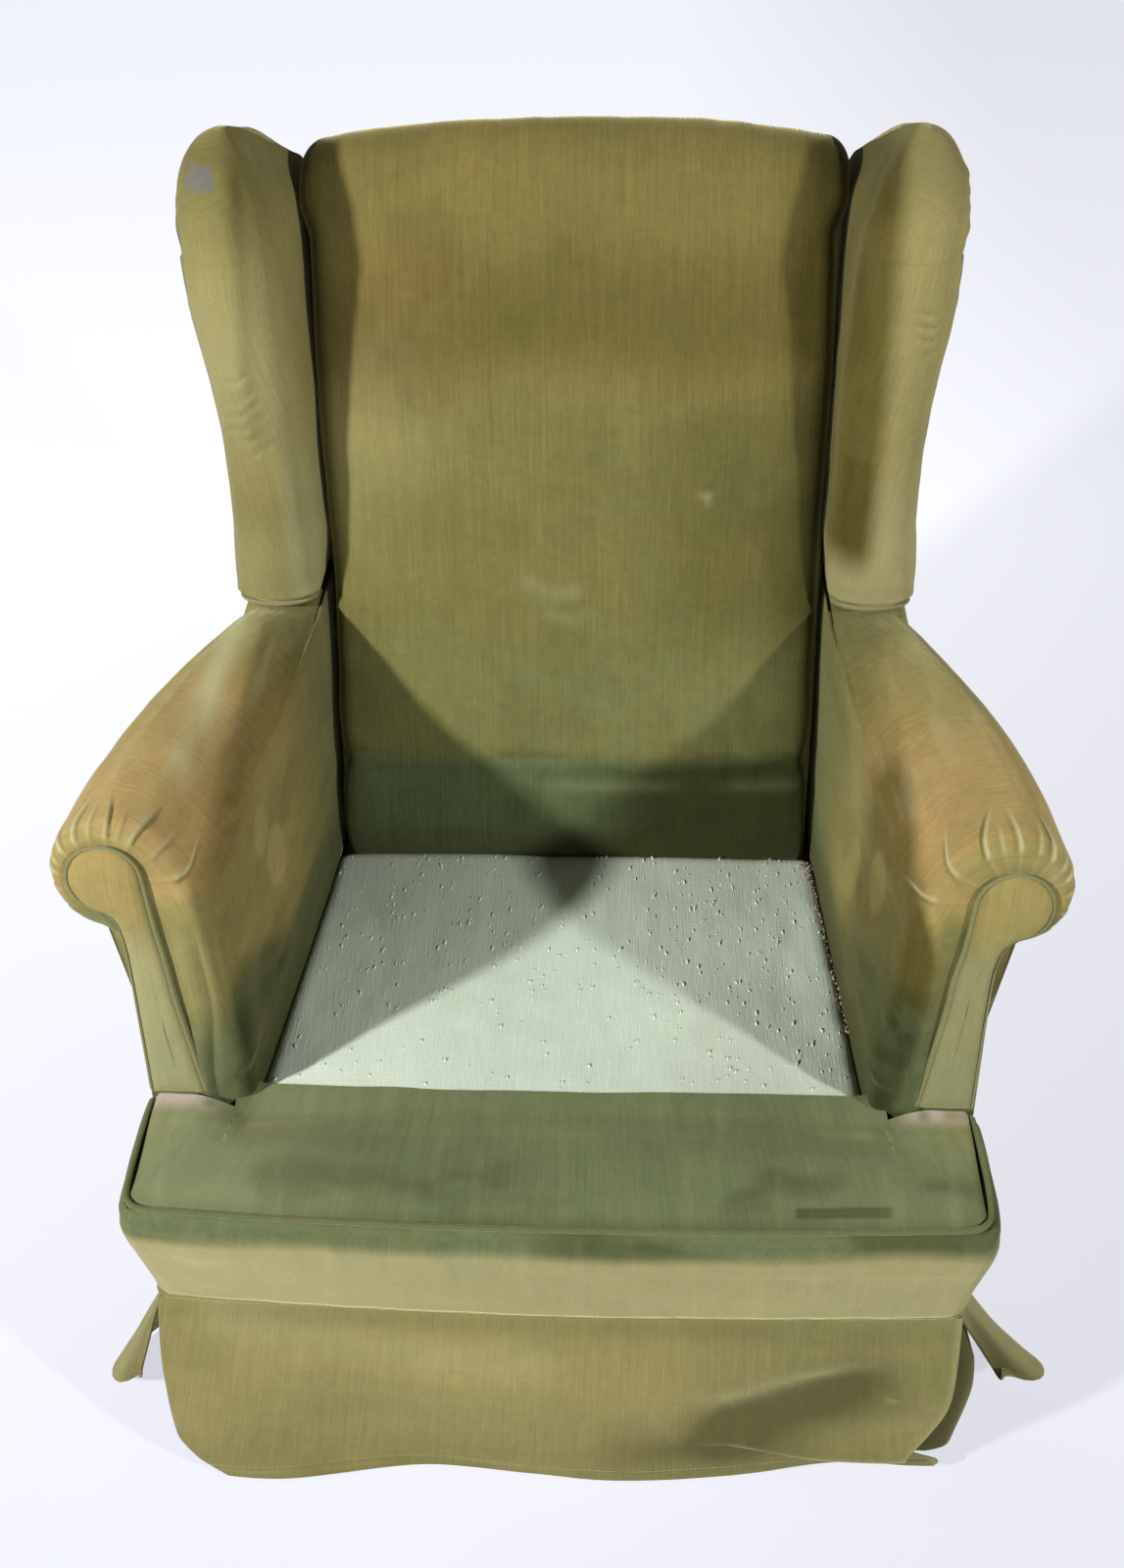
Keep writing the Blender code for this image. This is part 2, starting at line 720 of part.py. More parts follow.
PANEL_LEAN = 0.013          # how far the outside arm leans out at its top, over the stump


def panel_inner_x(y, z):
    """Inner surface of the outside arm: on the side rail below, clear of the stump above."""
    forward = min(max(-y / 0.14, 0.0), 1.0)
    upward = min(max((z - RAIL_TOP) / (ARM_RAIL_BOTTOM - RAIL_TOP), 0.0), 1.0)
    return side_x(min(y, REAR_Y)) + CLOTH_GAP + PANEL_LEAN * forward * upward


def arm_station_y(t, z):
    """Stations run from the leaning arm front to the leaning back post."""
    return mix(arm_front_y(z), post_y(max(z, POST_BEND)) - 0.003, t)


def arm_ring(t, inset, setback):
    shape = arm_shape(t, inset)
    roll_x, roll_z, radius = shape["roll"]
    section = [(shape["inner_low"], shape["bottom"])]
    section.append((mix(shape["inner_low"], shape["inner_high"], 0.5),
                    mix(shape["bottom"], shape["shoulder_z"], 0.55)))
    top_z = roll_z + radius
    start_x, start_z = shape["inner_high"], shape["shoulder_z"]
    section.append((start_x, start_z))
    for angle in (22.5, 45, 67.5):
        turn = math.radians(angle)
        section.append((mix(roll_x, start_x, math.cos(turn)), mix(start_z, top_z, math.sin(turn))))
    for angle in spread(math.pi / 2, shape["roll_end"], 9):
        section.append((roll_x + radius * math.cos(angle), roll_z + radius * math.sin(angle)))
    outer = panel_inner_x(arm_station_y(t, ROLL_Z), ARM_RAIL_BOTTOM) + PANEL_THICK + 0.0005
    section.append((outer, shape["under_z"]))
    section.append((outer, shape["bottom"]))
    return [(x, arm_station_y(t, z) + setback, z) for x, z in section]


def arm_cavity_ring(t, setback):
    """The hollow for the arm rail, stump and outside panel, open outwards and downwards."""
    low = 0.20
    y_mid = arm_station_y(t, 0.45) + setback
    rail_in, rail_out = arm_rail_limits(arm_station_y(t, ARM_RAIL_BOTTOM) + setback)
    rail_in, rail_out = rail_in - CLOTH_GAP, rail_out + CLOTH_GAP
    slot_low = mix(0.3104, 0.2738, t)
    slot_high = mix(0.3195, 0.2738, t)
    panel = panel_inner_x(y_mid, ARM_RAIL_BOTTOM) - 0.0002
    under = arm_shape(t, 0.0)["under_z"] + 0.0004
    z0, z1 = ARM_RAIL_BOTTOM - GAP, ARM_RAIL_TOP + GAP
    section = [(slot_low, low), (slot_low, RAIL_TOP), (slot_high, z0), (rail_in, z0), (rail_in, z1),
               (rail_out, z1), (rail_out, z0), (panel, z0), (panel, under), (0.50, under), (0.50, low)]
    return [(x, arm_station_y(t, z) + setback, z) for x, z in section]


def make_inside_arm(side):
    fronts = [(0.012, 0.0), (0.005, 0.005), (0.0, 0.018)]
    rings = [arm_ring(0.0, inset, setback) for inset, setback in fronts]
    rings += [arm_ring(t, 0.0, 0.0) for t in (0.12, 0.25, 0.4, 0.55, 0.67, WING_FOOT_T, 0.90, 1.0)]
    arm = loft(f"inside_arm_{side_name(side)}", [mirrored(r, side) for r in rings], "velour")
    cavity = [arm_cavity_ring(0.0, ARM_FRONT_SKIN - GAP)]
    cavity += [arm_cavity_ring(t, 0.0) for t in (0.12, 0.3, 0.5, WING_FOOT_T)]
    cavity.append(arm_cavity_ring(1.0, 0.002))
    cavity.append([(x, 0.33, z) for x, _, z in cavity[-1]])
    name = f"cutter_arm_{side_name(side)}"
    # the exact solver returns nothing for this long open cavity
    subtract(arm, loft(name, [mirrored(r, side) for r in cavity], "beech"), "MANIFOLD")
    hole = [mirrored(wing_post_ring(z, GAP), side) for z in (0.580, 0.640)]
    subtract(arm, loft(f"cutter_wing_post_{side_name(side)}", hole, "beech"))


def outside_arm_top(t):
    """Top edge of the outside arm, under the roll."""
    return arm_shape(t, 0.0)["under_z"] - 0.0001


def outside_arm_row(y_at, top):
    """One upright row of the outside arm: y_at gives its line at a height."""
    row = []
    for z in (SEAM_Z, 0.300, ARM_BOTTOM_FRONT - 0.0008, ARM_BOTTOM_FRONT - 0.0003, 0.41, 0.46, top):
        y = y_at(z)
        row.append((panel_inner_x(y, z), y, z))
    return row


def make_outside_arm(side):
    skin = ARM_FRONT_SKIN + CLOTH_GAP

    def front_edge(z):
        return arm_front_y(z) + skin if z > ARM_BOTTOM_FRONT - 0.0005 else BORDER_END + 0.0020

    def behind_post(z):
        return post_y(z) + POST_DEPTH + PANEL_LAP

    rows = [outside_arm_row(front_edge, outside_arm_top(0.0))]
    for t in (0.12, 0.25, 0.40, 0.58, WING_FOOT_T):
        rows.append(outside_arm_row(lambda z: arm_station_y(t, z), outside_arm_top(t)))
    step_top = WING_BOTTOM - GAP
    rows.append(outside_arm_row(lambda z: arm_station_y(1.0, z) + 0.0004, outside_arm_top(1.0)))
    rows.append(outside_arm_row(lambda z: arm_station_y(1.0, z) + 0.0010, step_top))
    rows.append(outside_arm_row(behind_post, step_top))
    inner = [mirrored(row, side) for row in rows]
    outer = [mirrored([(x + PANEL_THICK, y, z) for x, y, z in row], side) for row in rows]
    slab(f"outside_arm_{side_name(side)}", inner, outer, "velour")


def facing_outline(head_z):
    """Mushroom-shaped: a stem, and a round head in the middle of the scroll."""
    stem = [(0.3550, FACING_BOTTOM), (0.3555, 0.44), (0.3572, head_z - 0.062),
            (0.3625, head_z - 0.041), (0.3720, head_z - 0.0305)]
    head = []
    for angle in spread(-55, 180, 10):
        turn = math.radians(angle)
        head.append((ROLL_X + FACING_RADIUS * math.cos(turn), head_z + FACING_RADIUS * math.sin(turn)))
    inner = [(0.3355, head_z - 0.038), (0.3265, 0.465), (0.3110, FACING_BOTTOM)]
    return stem + head + inner


def make_arm_facing(side):
    rings = []
    outline = facing_outline(FACING_Z[side])
    centre_x = sum(x for x, _ in outline) / len(outline)
    centre_z = sum(z for _, z in outline) / len(outline)
    for depth, shrink in ((GAP, 0.0), (FACING_THICK * 0.6, 0.0), (FACING_THICK, 0.06)):
        ring = []
        for x, z in outline:
            px = mix(x, centre_x, shrink)
            pz = max(mix(z, centre_z, shrink * 0.25), FACING_BOTTOM)
            ring.append((side * px, arm_front_y(pz) - depth, pz))
        rings.append(ring)
    loft(f"arm_facing_{side_name(side)}", rings, "velour")
    make_facing_piping(side, outline)


def make_facing_piping(side, outline):
    """The cord lies against the edge of the facing, on the arm's front."""
    radius = FINE_PIPING_RADIUS
    points = []
    for k, (x, z) in enumerate(outline):
        before = outline[max(k - 1, 0)]
        after = outline[min(k + 1, len(outline) - 1)]
        dx, dz = after[0] - before[0], after[1] - before[1]
        length = math.hypot(dx, dz)
        px = x + dz / length * (radius + 0.0008)
        pz = z - dx / length * (radius + 0.0008)
        points.append((side * px, arm_front_y(pz) - (radius + 0.0004) * 1.02, pz))
    cord(f"facing_piping_{side_name(side)}", points, radius, "piping")


# ---------------------------------------------------------------- wings
WING_INNER = [(0.600, 0.2470), (0.68, 0.2430), (0.78, 0.2425), (0.88, 0.2440), (0.94, 0.2470),
              (0.97, 0.2520), (0.99, 0.2600), (1.005, 0.2700), (1.018, 0.2810), (1.028, 0.2900)]
WING_OUTER = [(0.600, 0.3300), (0.64, 0.3260), (0.68, 0.3230), (0.75, 0.3215), (0.82, 0.3265),
              (0.90, 0.3375), (0.96, 0.3385), (0.99, 0.3330), (1.005, 0.3250), (1.018, 0.3150),
              (1.028, 0.3050)]
WING_FRONT = [(0.600, 0.162), (0.70, 0.160), (0.85, 0.170), (0.93, 0.180), (0.97, 0.192),
              (0.99, 0.205), (1.005, 0.218), (1.018, 0.232), (1.028, 0.248)]
WING_LEVELS = (0.66, 0.72, 0.78, 0.84, 0.90, 0.9375, 0.945, 0.97, 0.99, 1.005, 1.018, 1.028)
# how far the wing runs on behind the front of the back post, near its top
WING_TOP_REAR = [(0.9375, 0.0), (0.945, 0.042), (0.97, 0.039), (0.99, 0.014), (1.005, -0.028),
                 (1.018, -0.067), (1.028, -0.100)]


def wing_ring(z, inset):
    """Plan outline: a rounded front edge, straight sides, a square rear end."""
    inner = along(WING_INNER, z) + inset
    outer = along(WING_OUTER, z) - inset
    front = along(WING_FRONT, z) + inset
    rear = post_y(z) - 0.003 + along(WING_TOP_REAR, z)
    middle, half = (inner + outer) / 2, (outer - inner) / 2
    depth = min(half, (rear - front) * 0.45)
    ring = [(outer, rear, z), (outer, mix(front + depth, rear, 0.5), z)]
    for angle in spread(0, 180, 9):
        turn = math.radians(angle)
        ring.append((middle + half * math.cos(turn), front + depth - depth * math.sin(turn), z))
    ring += [(inner, mix(front + depth, rear, 0.5), z), (inner, rear, z)]
    return ring


PIPING_REBATE = 0.0095


def make_inside_wing(side):
    low = WING_BOTTOM
    rebate_top = low + 0.0085
    levels = [(low, PIPING_REBATE), (rebate_top, PIPING_REBATE), (rebate_top + 0.001, 0.0)]
    levels += [(z, 0.0) for z in WING_LEVELS]
    rings = [mirrored(wing_ring(z, inset), side) for z, inset in levels]
    wing = loft(f"inside_wing_{side_name(side)}", rings, "velour")

    cavity = []
    for z in (0.56, *WING_POST_LEVELS, WING_RAIL_TOP + GAP):
        inner = along(WING_POST_INNER, z) - SOFT_GAP
        joint = RAIL_JOINT_INNER - SOFT_GAP
        ring = [(inner, WING_POST_Y - GAP, z), (inner, WING_POST_Y + WING_POST_DEPTH, z),
                (joint, post_y(z), z), (joint, 0.50, z), (0.45, 0.50, z), (0.45, WING_POST_Y - GAP, z)]
        cavity.append(mirrored(ring, side))
    name = f"cutter_wing_{side_name(side)}"
    subtract(wing, loft(name, cavity, "beech"))
    post = [mirrored(post_ring(z, CLOTH_GAP), side) for z in (0.85, POST_TOP + CLOTH_GAP)]
    subtract(wing, loft(f"cutter_back_post_{side_name(side)}", post, "beech"))


def wing_panel_inner_x(y, z):
    """Inner surface of the outside wing: on the wing post, and drawn in towards the back post."""
    front = along(WING_POST_INNER, z) + WING_POST_THICK + CLOTH_GAP
    start, end = WING_POST_Y + WING_POST_DEPTH, post_y(z)
    t = min(max((y - start) / (end - start), 0.0), 1.0)
    return mix(front, POST_OUTER + PANEL_LAP, t)


def make_outside_wing(side):
    lower, upper = [], []
    top = WING_RAIL_TOP - CLOTH_GAP
    for z in (WING_BOTTOM + GAP, *WING_POST_LEVELS, top):
        low_row, high_row = [], []
        joint = WING_POST_Y + WING_POST_DEPTH
        rear = post_y(z) + POST_DEPTH + PANEL_LAP
        for y in (WING_POST_Y + 0.0005, joint, mix(joint, post_y(z), 0.5), post_y(z), rear):
            x = wing_panel_inner_x(y, z)
            low_row.append((side * x, y, z))
            high_row.append((side * (x + PANEL_THICK), y, z))
        lower.append(low_row)
        upper.append(high_row)
    slab(f"outside_wing_{side_name(side)}", lower, upper, "velour")


def make_wing_piping(side):
    """A cord in the rebate at the foot of the wing, from the outside panel round to the back."""
    z = WING_BOTTOM + 0.0005 + FINE_PIPING_RADIUS
    ring = wing_ring(WING_BOTTOM, 0.0053)[2:-1]
    points = [(side * x, y, z) for x, y, _ in ring]
    cord(f"wing_piping_{side_name(side)}", points, FINE_PIPING_RADIUS, "piping")


# ---------------------------------------------------------------- back
BACK_FACE = [(0.300, 0.128), (0.325, 0.1200), (0.38, 0.1200), (0.44, 0.1300), (0.54, 0.168),
             (0.65, 0.196), (0.75, 0.213), (0.85, 0.240), (0.92, 0.269), (0.960, 0.293),
             (0.985, 0.311), (1.001, 0.331), (1.006, 0.352)]
ROLL_LOW = OUTSIDE_TOP + 0.0006
BACK_ROLL_REAR = [(0.3720, 1.0010), (0.3890, 0.9900), (0.4000, 0.9700), (0.4030, ROLL_LOW)]
ROLL_TOP = 1.0010
ARCH_START = 0.890          # above this height the back's outline arches
ARCH_HEIGHT = 0.116


def back_setback(x):
    """The face falls away to its sides: nothing in the middle, most at the edge."""
    edge = abs(x) / BACK_HALF
    return 0.010 * edge ** 2 + 0.022 * max((edge - 0.88) / 0.12, 0.0) ** 2


def back_ring(x):
    drop = BACK_ARCH * (1.0 - arch(x))
    setback = back_setback(x)
    ring = []
    for z, y in BACK_FACE:
        upper = max((z - ARCH_START) / ARCH_HEIGHT, 0.0)
        ring.append((x, min(y + setback * (1.0 - 0.8 * upper), 0.390), z - drop * upper))
    for y, z in BACK_ROLL_REAR:
        ring.append((x, y, z - drop * (z - ROLL_LOW) / (ROLL_TOP - ROLL_LOW)))
    high = top_rail_z(x) + 0.0004
    ring += [
        (x, post_y(ROLL_LOW) + POST_DEPTH + 0.0004, ROLL_LOW),
        (x, post_y(high) + POST_DEPTH + 0.0004, high),
        (x, post_y(high) - 0.003, high),
        (x, post_y(0.60) - 0.003, 0.60),
        (x, post_y(0.30) - 0.003, 0.300),
    ]
    return ring


def make_inside_back():
    xs = [0.0, 0.06, 0.12, 0.17, 0.205, 0.225, 0.2345, BACK_HALF]
    xs = [-x for x in reversed(xs)] + xs[1:]
    loft("inside_back", [back_ring(x) for x in xs], "velour")


def make_outside_back():
    half = POST_OUTER + 0.0045
    lower, upper = [], []
    for z in (SEAM_Z, POST_BEND, 0.53, 0.74, OUTSIDE_TOP):
        y = post_y(z) + POST_DEPTH + 0.0004
        lower.append([(x, y, z) for x in spread(-half, half, 3)])
        upper.append([(x, y + BACK_PANEL_THICK, z) for x in spread(-half, half, 3)])
    slab("outside_back", lower, upper, "velour")


# ---------------------------------------------------------------- skirt
def perimeter(offset, bow):
    """Closed line round the seat frame at an offset, from the front right corner, clockwise."""
    corner = 0.004
    reach = corner + offset
    centres = [
        (HALF_FRONT - corner, FRONT_Y + corner, 0),
        (-HALF_FRONT + corner, FRONT_Y + corner, 90),
        (-HALF_REAR + corner, REAR_Y - corner, 180),
        (HALF_REAR - corner, REAR_Y - corner, 270),
    ]
    points = []
    for k, (cx, cy, start) in enumerate(centres):
        for step in (0, 45, 90):
            turn = math.radians(start + step)
            points.append((cx + reach * math.cos(turn), cy - reach * math.sin(turn)))
        if k == 0:
            for x in spread(0.28, -0.28, 7):
                points.append((x, FRONT_Y - offset - bow * (1 - (x / HALF_FRONT) ** 2)))
    return points


def make_skirt_piping():
    z = SEAM_Z - 0.0004 - PIPING_RADIUS
    points = [(x, y, z) for x, y in perimeter(PIPING_RADIUS + 0.0006, 0.008)]
    cord("skirt_piping", points, PIPING_RADIUS, "piping", closed=True)


SKIRT_OFFSET = 0.0042       # middle of a skirt panel to the frame, at its top
INSERT_OFFSET = 0.0014


def smooth(t):
    t = min(max(t, 0.0), 1.0)
    return t * t * (3 - 2 * t)


FRONT_SKIRT_ROWS = [0.0, 0.16, 0.34, 0.52, 0.68, 0.80, 0.90, 1.0]
FRONT_SKIRT_LEFT = [(0.0, 0.3560), (0.38, 0.3600), (0.75, 0.3560), (0.90, 0.3400), (1.0, 0.3120)]
FRONT_SKIRT_RIGHT = [(0.0, 0.3560), (0.38, 0.3520), (0.62, 0.3400), (0.80, 0.3200), (0.90, 0.3420),
                     (1.0, 0.3560)]


FRONT_BELLY = 0.034         # how far the front skirt stands out at its hem
KICK = 0.016                # how far its right-hand end is kicked up


def make_skirt_front():
    """Bellied and wavy; its right-hand end is creased above the hem, which kicks out."""
    grid = []
    for v in FRONT_SKIRT_ROWS:
        row = []
        left, right = -along(FRONT_SKIRT_LEFT, v), along(FRONT_SKIRT_RIGHT, v)
        for u in spread(0.0, 1.0, 21):
            x = mix(left, right, u)
            bow = front_bow(x)
            wave = 0.006 * math.sin(u * 13.0 + 0.6) * v
            belly = (FRONT_BELLY + 0.010 * smooth(1 - 3 * u)) * v ** 0.8
            crease = smooth((u - 0.68) / 0.2)
            tuck = crease * math.sin(math.pi * min(v / 0.8, 1.0)) * 0.012
            kick = crease * smooth((v - 0.80) / 0.20)
            y = FRONT_Y - SKIRT_OFFSET - bow - belly - wave - tuck + KICK * kick * u
            z = mix(SKIRT_TOP, HEM_Z + 0.002 + 0.002 * math.sin(u * 9.0), v) + KICK * kick
            row.append((x, y, z))
        grid.append(row)
    sheet("skirt_front", grid, SKIRT_THICK, "velour")


SIDE_LEAN = 0.026           # how far a side skirt stands out at its hem
# what its ends add: at the front outwards, backwards and upwards, and its reach at the rear
SIDE_FLARE_RIGHT = {"front": (0.072, 0.020, 0.062), "rear": 0.030}
SIDE_FLARE_LEFT = {"front": (0.040, 0.012, 0.040), "rear": 0.142}


def make_skirt_side(side):
    """Hangs from the seam, with its front end flared away from the corner."""
    flare = SIDE_FLARE_RIGHT if side > 0 else SIDE_FLARE_LEFT
    reach, back, lift = flare["front"]
    grid = []
    for v in (0.0, 0.2, 0.4, 0.6, 0.8, 1.0):
        row = []
        for u in spread(0.0, 1.0, 17):
            y = mix(FRONT_Y, REAR_Y, u)
            front, rear = smooth(1 - u / 0.30), smooth((u - 0.72) / 0.28)
            wave = 0.006 * math.sin(u * 17.0) * v
            bend = v ** 1.3
            out = SIDE_LEAN * v + wave + reach * bend * front
            out += (flare["rear"] - SIDE_LEAN) * bend * rear
            x = side_x(y) + SKIRT_OFFSET + out
            y += back * bend * front
            z = mix(SKIRT_TOP, HEM_Z + 0.003, v) + lift * bend * front + 0.030 * bend * rear
            row.append((side * x, y, z))
        grid.append(row)
    sheet(f"skirt_{side_name(side)}", grid, SKIRT_THICK, "velour")


def make_skirt_back():
    grid = []
    for v in (0.0, 0.25, 0.5, 0.75, 1.0):
        row = []
        for u in spread(-1.0, 1.0, 15):
            x = u * (HALF_REAR + 0.003 + 0.012 * v)
            y = REAR_Y + SKIRT_OFFSET + 0.040 * v + 0.005 * v * math.sin(u * 9.0)
            z = mix(SKIRT_TOP, HEM_Z + 0.003, v)
            row.append((x, y, z))
        grid.append(row)
    sheet("skirt_back", grid, SKIRT_THICK, "velour")


INSERT_REACH = 0.075
INSERT_HEM = 0.010
INSERT_THICK = 0.002


def make_pleat_insert(side, place):
    """A folded strip behind each open corner of the skirt."""
    front = place == "front"
    turn_y = -1 if front else 1
    corner_x = HALF_FRONT if front else HALF_REAR
    corner_y = FRONT_Y if front else REAR_Y
    side_flare = 0.012
    end_flare = 0.018 if front else 0.030
    grid = []
    for v in (0.0, 0.35, 0.7, 1.0):
        offset = INSERT_OFFSET + side_flare * v
        end_offset = INSERT_OFFSET + end_flare * v
        z = mix(SKIRT_TOP, INSERT_HEM, v)
        row = []
        for s in (-1.0, -0.5, -0.08):
            y = corner_y + turn_y * (s * INSERT_REACH)
            row.append((side_x(y) + offset, y, z))
        corner = 0.004
        for angle in (0, 45, 90):
            turn = math.radians(angle)
            row.append((corner_x - corner + (corner + offset) * math.cos(turn),
                        corner_y + turn_y * ((corner + end_offset) * math.sin(turn) - corner), z))
        for s in (0.08, 0.5, 1.0):
            row.append((corner_x - s * INSERT_REACH, corner_y + turn_y * end_offset, z))
        grid.append([(side * x, y, zz) for x, y, zz in row])
    sheet(f"pleat_insert_{place}_{side_name(side)}", grid, INSERT_THICK, "velour_green")


# ---------------------------------------------------------------- the whole chair
def make_upholstery():
    make_seat_straps()
    make_seat_hessian()
    make_back_hessian()
    make_dust_cloth()
    make_seat_platform()
    make_front_lip()
    make_front_border()
    make_lip_piping()
    make_inside_back()
    make_outside_back()
    make_skirt_piping()
    make_skirt_front()
    make_skirt_back()
    for side in (1, -1):
        make_inside_arm(side)
        make_outside_arm(side)
        make_arm_facing(side)
        make_inside_wing(side)
        make_outside_wing(side)
        make_wing_piping(side)
        make_skirt_side(side)
        make_pleat_insert(side, "front")
        make_pleat_insert(side, "rear")


clear_scene()
MATERIALS = {name: make_material(name) for name in COLOURS}
make_frame()
make_upholstery()
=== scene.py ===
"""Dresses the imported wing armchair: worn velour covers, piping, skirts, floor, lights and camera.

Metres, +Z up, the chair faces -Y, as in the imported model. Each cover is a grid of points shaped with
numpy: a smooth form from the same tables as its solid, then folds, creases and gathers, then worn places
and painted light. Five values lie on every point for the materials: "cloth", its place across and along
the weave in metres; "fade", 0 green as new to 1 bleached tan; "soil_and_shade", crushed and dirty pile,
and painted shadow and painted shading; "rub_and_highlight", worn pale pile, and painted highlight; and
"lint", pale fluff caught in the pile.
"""

import math
from types import SimpleNamespace

import bmesh
import bpy
import numpy as np
from mathutils import Matrix, Vector


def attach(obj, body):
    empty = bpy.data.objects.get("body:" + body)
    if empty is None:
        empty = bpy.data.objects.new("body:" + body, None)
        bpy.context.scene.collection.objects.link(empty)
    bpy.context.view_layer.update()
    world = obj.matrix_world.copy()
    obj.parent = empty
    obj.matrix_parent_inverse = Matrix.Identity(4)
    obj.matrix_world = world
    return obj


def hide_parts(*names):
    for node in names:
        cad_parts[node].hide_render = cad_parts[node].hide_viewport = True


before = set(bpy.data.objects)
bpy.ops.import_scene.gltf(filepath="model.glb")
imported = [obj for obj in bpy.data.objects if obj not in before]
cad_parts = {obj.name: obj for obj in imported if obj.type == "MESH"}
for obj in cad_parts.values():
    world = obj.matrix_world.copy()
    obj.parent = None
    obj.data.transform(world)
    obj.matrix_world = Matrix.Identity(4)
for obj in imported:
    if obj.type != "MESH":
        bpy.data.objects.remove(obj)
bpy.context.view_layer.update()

# ---------------------------------------------------------------- sizes shared with the solids, metres
CLOTH_GAP = 0.0005
FRONT_Y, REAR_Y = -0.345, 0.236
HALF_FRONT, HALF_REAR = 0.350, 0.305
RAIL_BOTTOM, RAIL_TOP = 0.200, 0.290
POST_INNER, POST_OUTER = 0.264, 0.300
POST_Y, POST_DEPTH, POST_BEND, BACK_LEAN = 0.200, 0.036, 0.300, 0.2326
SEAM_Z = 0.2205
PIPING_RADIUS, FINE_PIPING_RADIUS = 0.0038, 0.0032
PANEL_THICK, PANEL_LAP = 0.008, 0.0055

ARM_PLANE_Y, ARM_PLANE_Z, ARM_PLANE_LEAN = -0.199, 0.577, 0.184
ARM_FRONT_SKIN, ARM_SHOWN = 0.012, 236          # so many points of each ring lie on the seen cover
ARM_RAIL_BOTTOM, ARM_RAIL_TOP = 0.565, 0.585
ROLL_X, ROLL_Z, ROLL_RADIUS = 0.369, 0.577, 0.050
ARM_TOP_REAR = 0.600
ARM_BOTTOM_FRONT, ARM_BOTTOM_REAR = 0.3340, 0.315
WING_FOOT_T, ARM_SWELL = 0.78, 1.9
FACING_RADIUS, FACING_BOTTOM = 0.030, 0.3650
FACING_Z = {1: 0.569, -1: 0.582}

BACK_HALF, BACK_ARCH, ARCH_START, ARCH_HEIGHT = 0.2395, 0.024, 0.890, 0.116
BACK_FACE = [(0.300, 0.128), (0.325, 0.1200), (0.38, 0.1200), (0.44, 0.1300), (0.54, 0.168),
             (0.65, 0.196), (0.75, 0.213), (0.85, 0.240), (0.92, 0.269), (0.960, 0.293),
             (0.985, 0.311), (1.001, 0.331), (1.006, 0.352)]
BACK_ROLL_REAR = [(0.3720, 1.0010), (0.3890, 0.9900), (0.4000, 0.9700), (0.4030, 0.9406)]
TOP_RAIL_MIDDLE, OUTSIDE_TOP = 0.964, 0.940

WING_BOTTOM, WING_TOP = 0.6005, 1.0280
WING_POST_Y, WING_POST_THICK, WING_POST_DEPTH = 0.205, 0.026, 0.030
WING_INNER = [(0.600, 0.2470), (0.68, 0.2430), (0.78, 0.2425), (0.88, 0.2450), (0.94, 0.2495),
              (0.97, 0.2570), (0.99, 0.2650), (1.005, 0.2735), (1.018, 0.2820), (1.028, 0.2900)]
WING_OUTER = [(0.600, 0.3300), (0.64, 0.3260), (0.68, 0.3230), (0.75, 0.3215), (0.82, 0.3265),
              (0.90, 0.3375), (0.96, 0.3390), (0.99, 0.3365), (1.005, 0.3310), (1.018, 0.3220),
              (1.028, 0.3060)]
WING_FRONT = [(0.600, 0.162), (0.70, 0.160), (0.85, 0.170), (0.93, 0.180), (0.97, 0.192),
              (0.99, 0.205), (1.005, 0.218), (1.018, 0.232), (1.028, 0.248)]
WING_TOP_REAR = [(0.945, 0.042), (0.97, 0.039), (0.99, 0.014), (1.005, -0.028), (1.018, -0.067),
                 (1.028, -0.100)]
WING_POST_INNER = [(0.58, 0.290), (0.66, 0.286), (0.75, 0.286), (0.82, 0.291), (0.90, 0.302),
                   (1.0, 0.302)]
WING_SHELF = 0.9402         # above the outside panel the wing's cover runs on over the posts

DECK_REAR, DECK_LOW, DECK_RISE, DECK_CROWN, DECK_HOLLOW = 0.1185, 0.322, 0.008, 0.026, 0.012
LIP_REAR, LIP_SHOULDER_Y, LIP_NECK, LIP_SIDE = -0.227, -0.2467, 0.286, 0.0115
LIP_BOTTOM = 0.2962
BORDER_TOP, BORDER_END, BORDER_CORNER, FRONT_BOW = 0.339, -0.2480, 0.020, 0.010
BORDER_PROFILE = [(SEAM_Z, 0.0080, 0.0110), (0.250, 0.0110, 0.0125), (0.285, 0.0175, 0.0140),
                  (0.315, 0.0225, 0.0150), (0.331, 0.0220, 0.0120), (BORDER_TOP, 0.0185, 0.0075)]

SKIRT_THICK, SKIRT_TOP, HEM_Z, SKIRT_OFFSET = 0.0025, 0.2118, 0.0015, 0.0042


# ---------------------------------------------------------------- numbers and curves
def mix(a, b, t):
    return a + (b - a) * t


def ramp(value, start, end):
    """0 at start, 1 at end, smooth between; end may lie below start."""
    t = np.clip((np.asarray(value, float) - start) / (end - start), 0.0, 1.0)
    return t * t * (3 - 2 * t)


def bell(value, centre, width):
    return np.exp(-(((np.asarray(value, float) - centre) / width) ** 2))


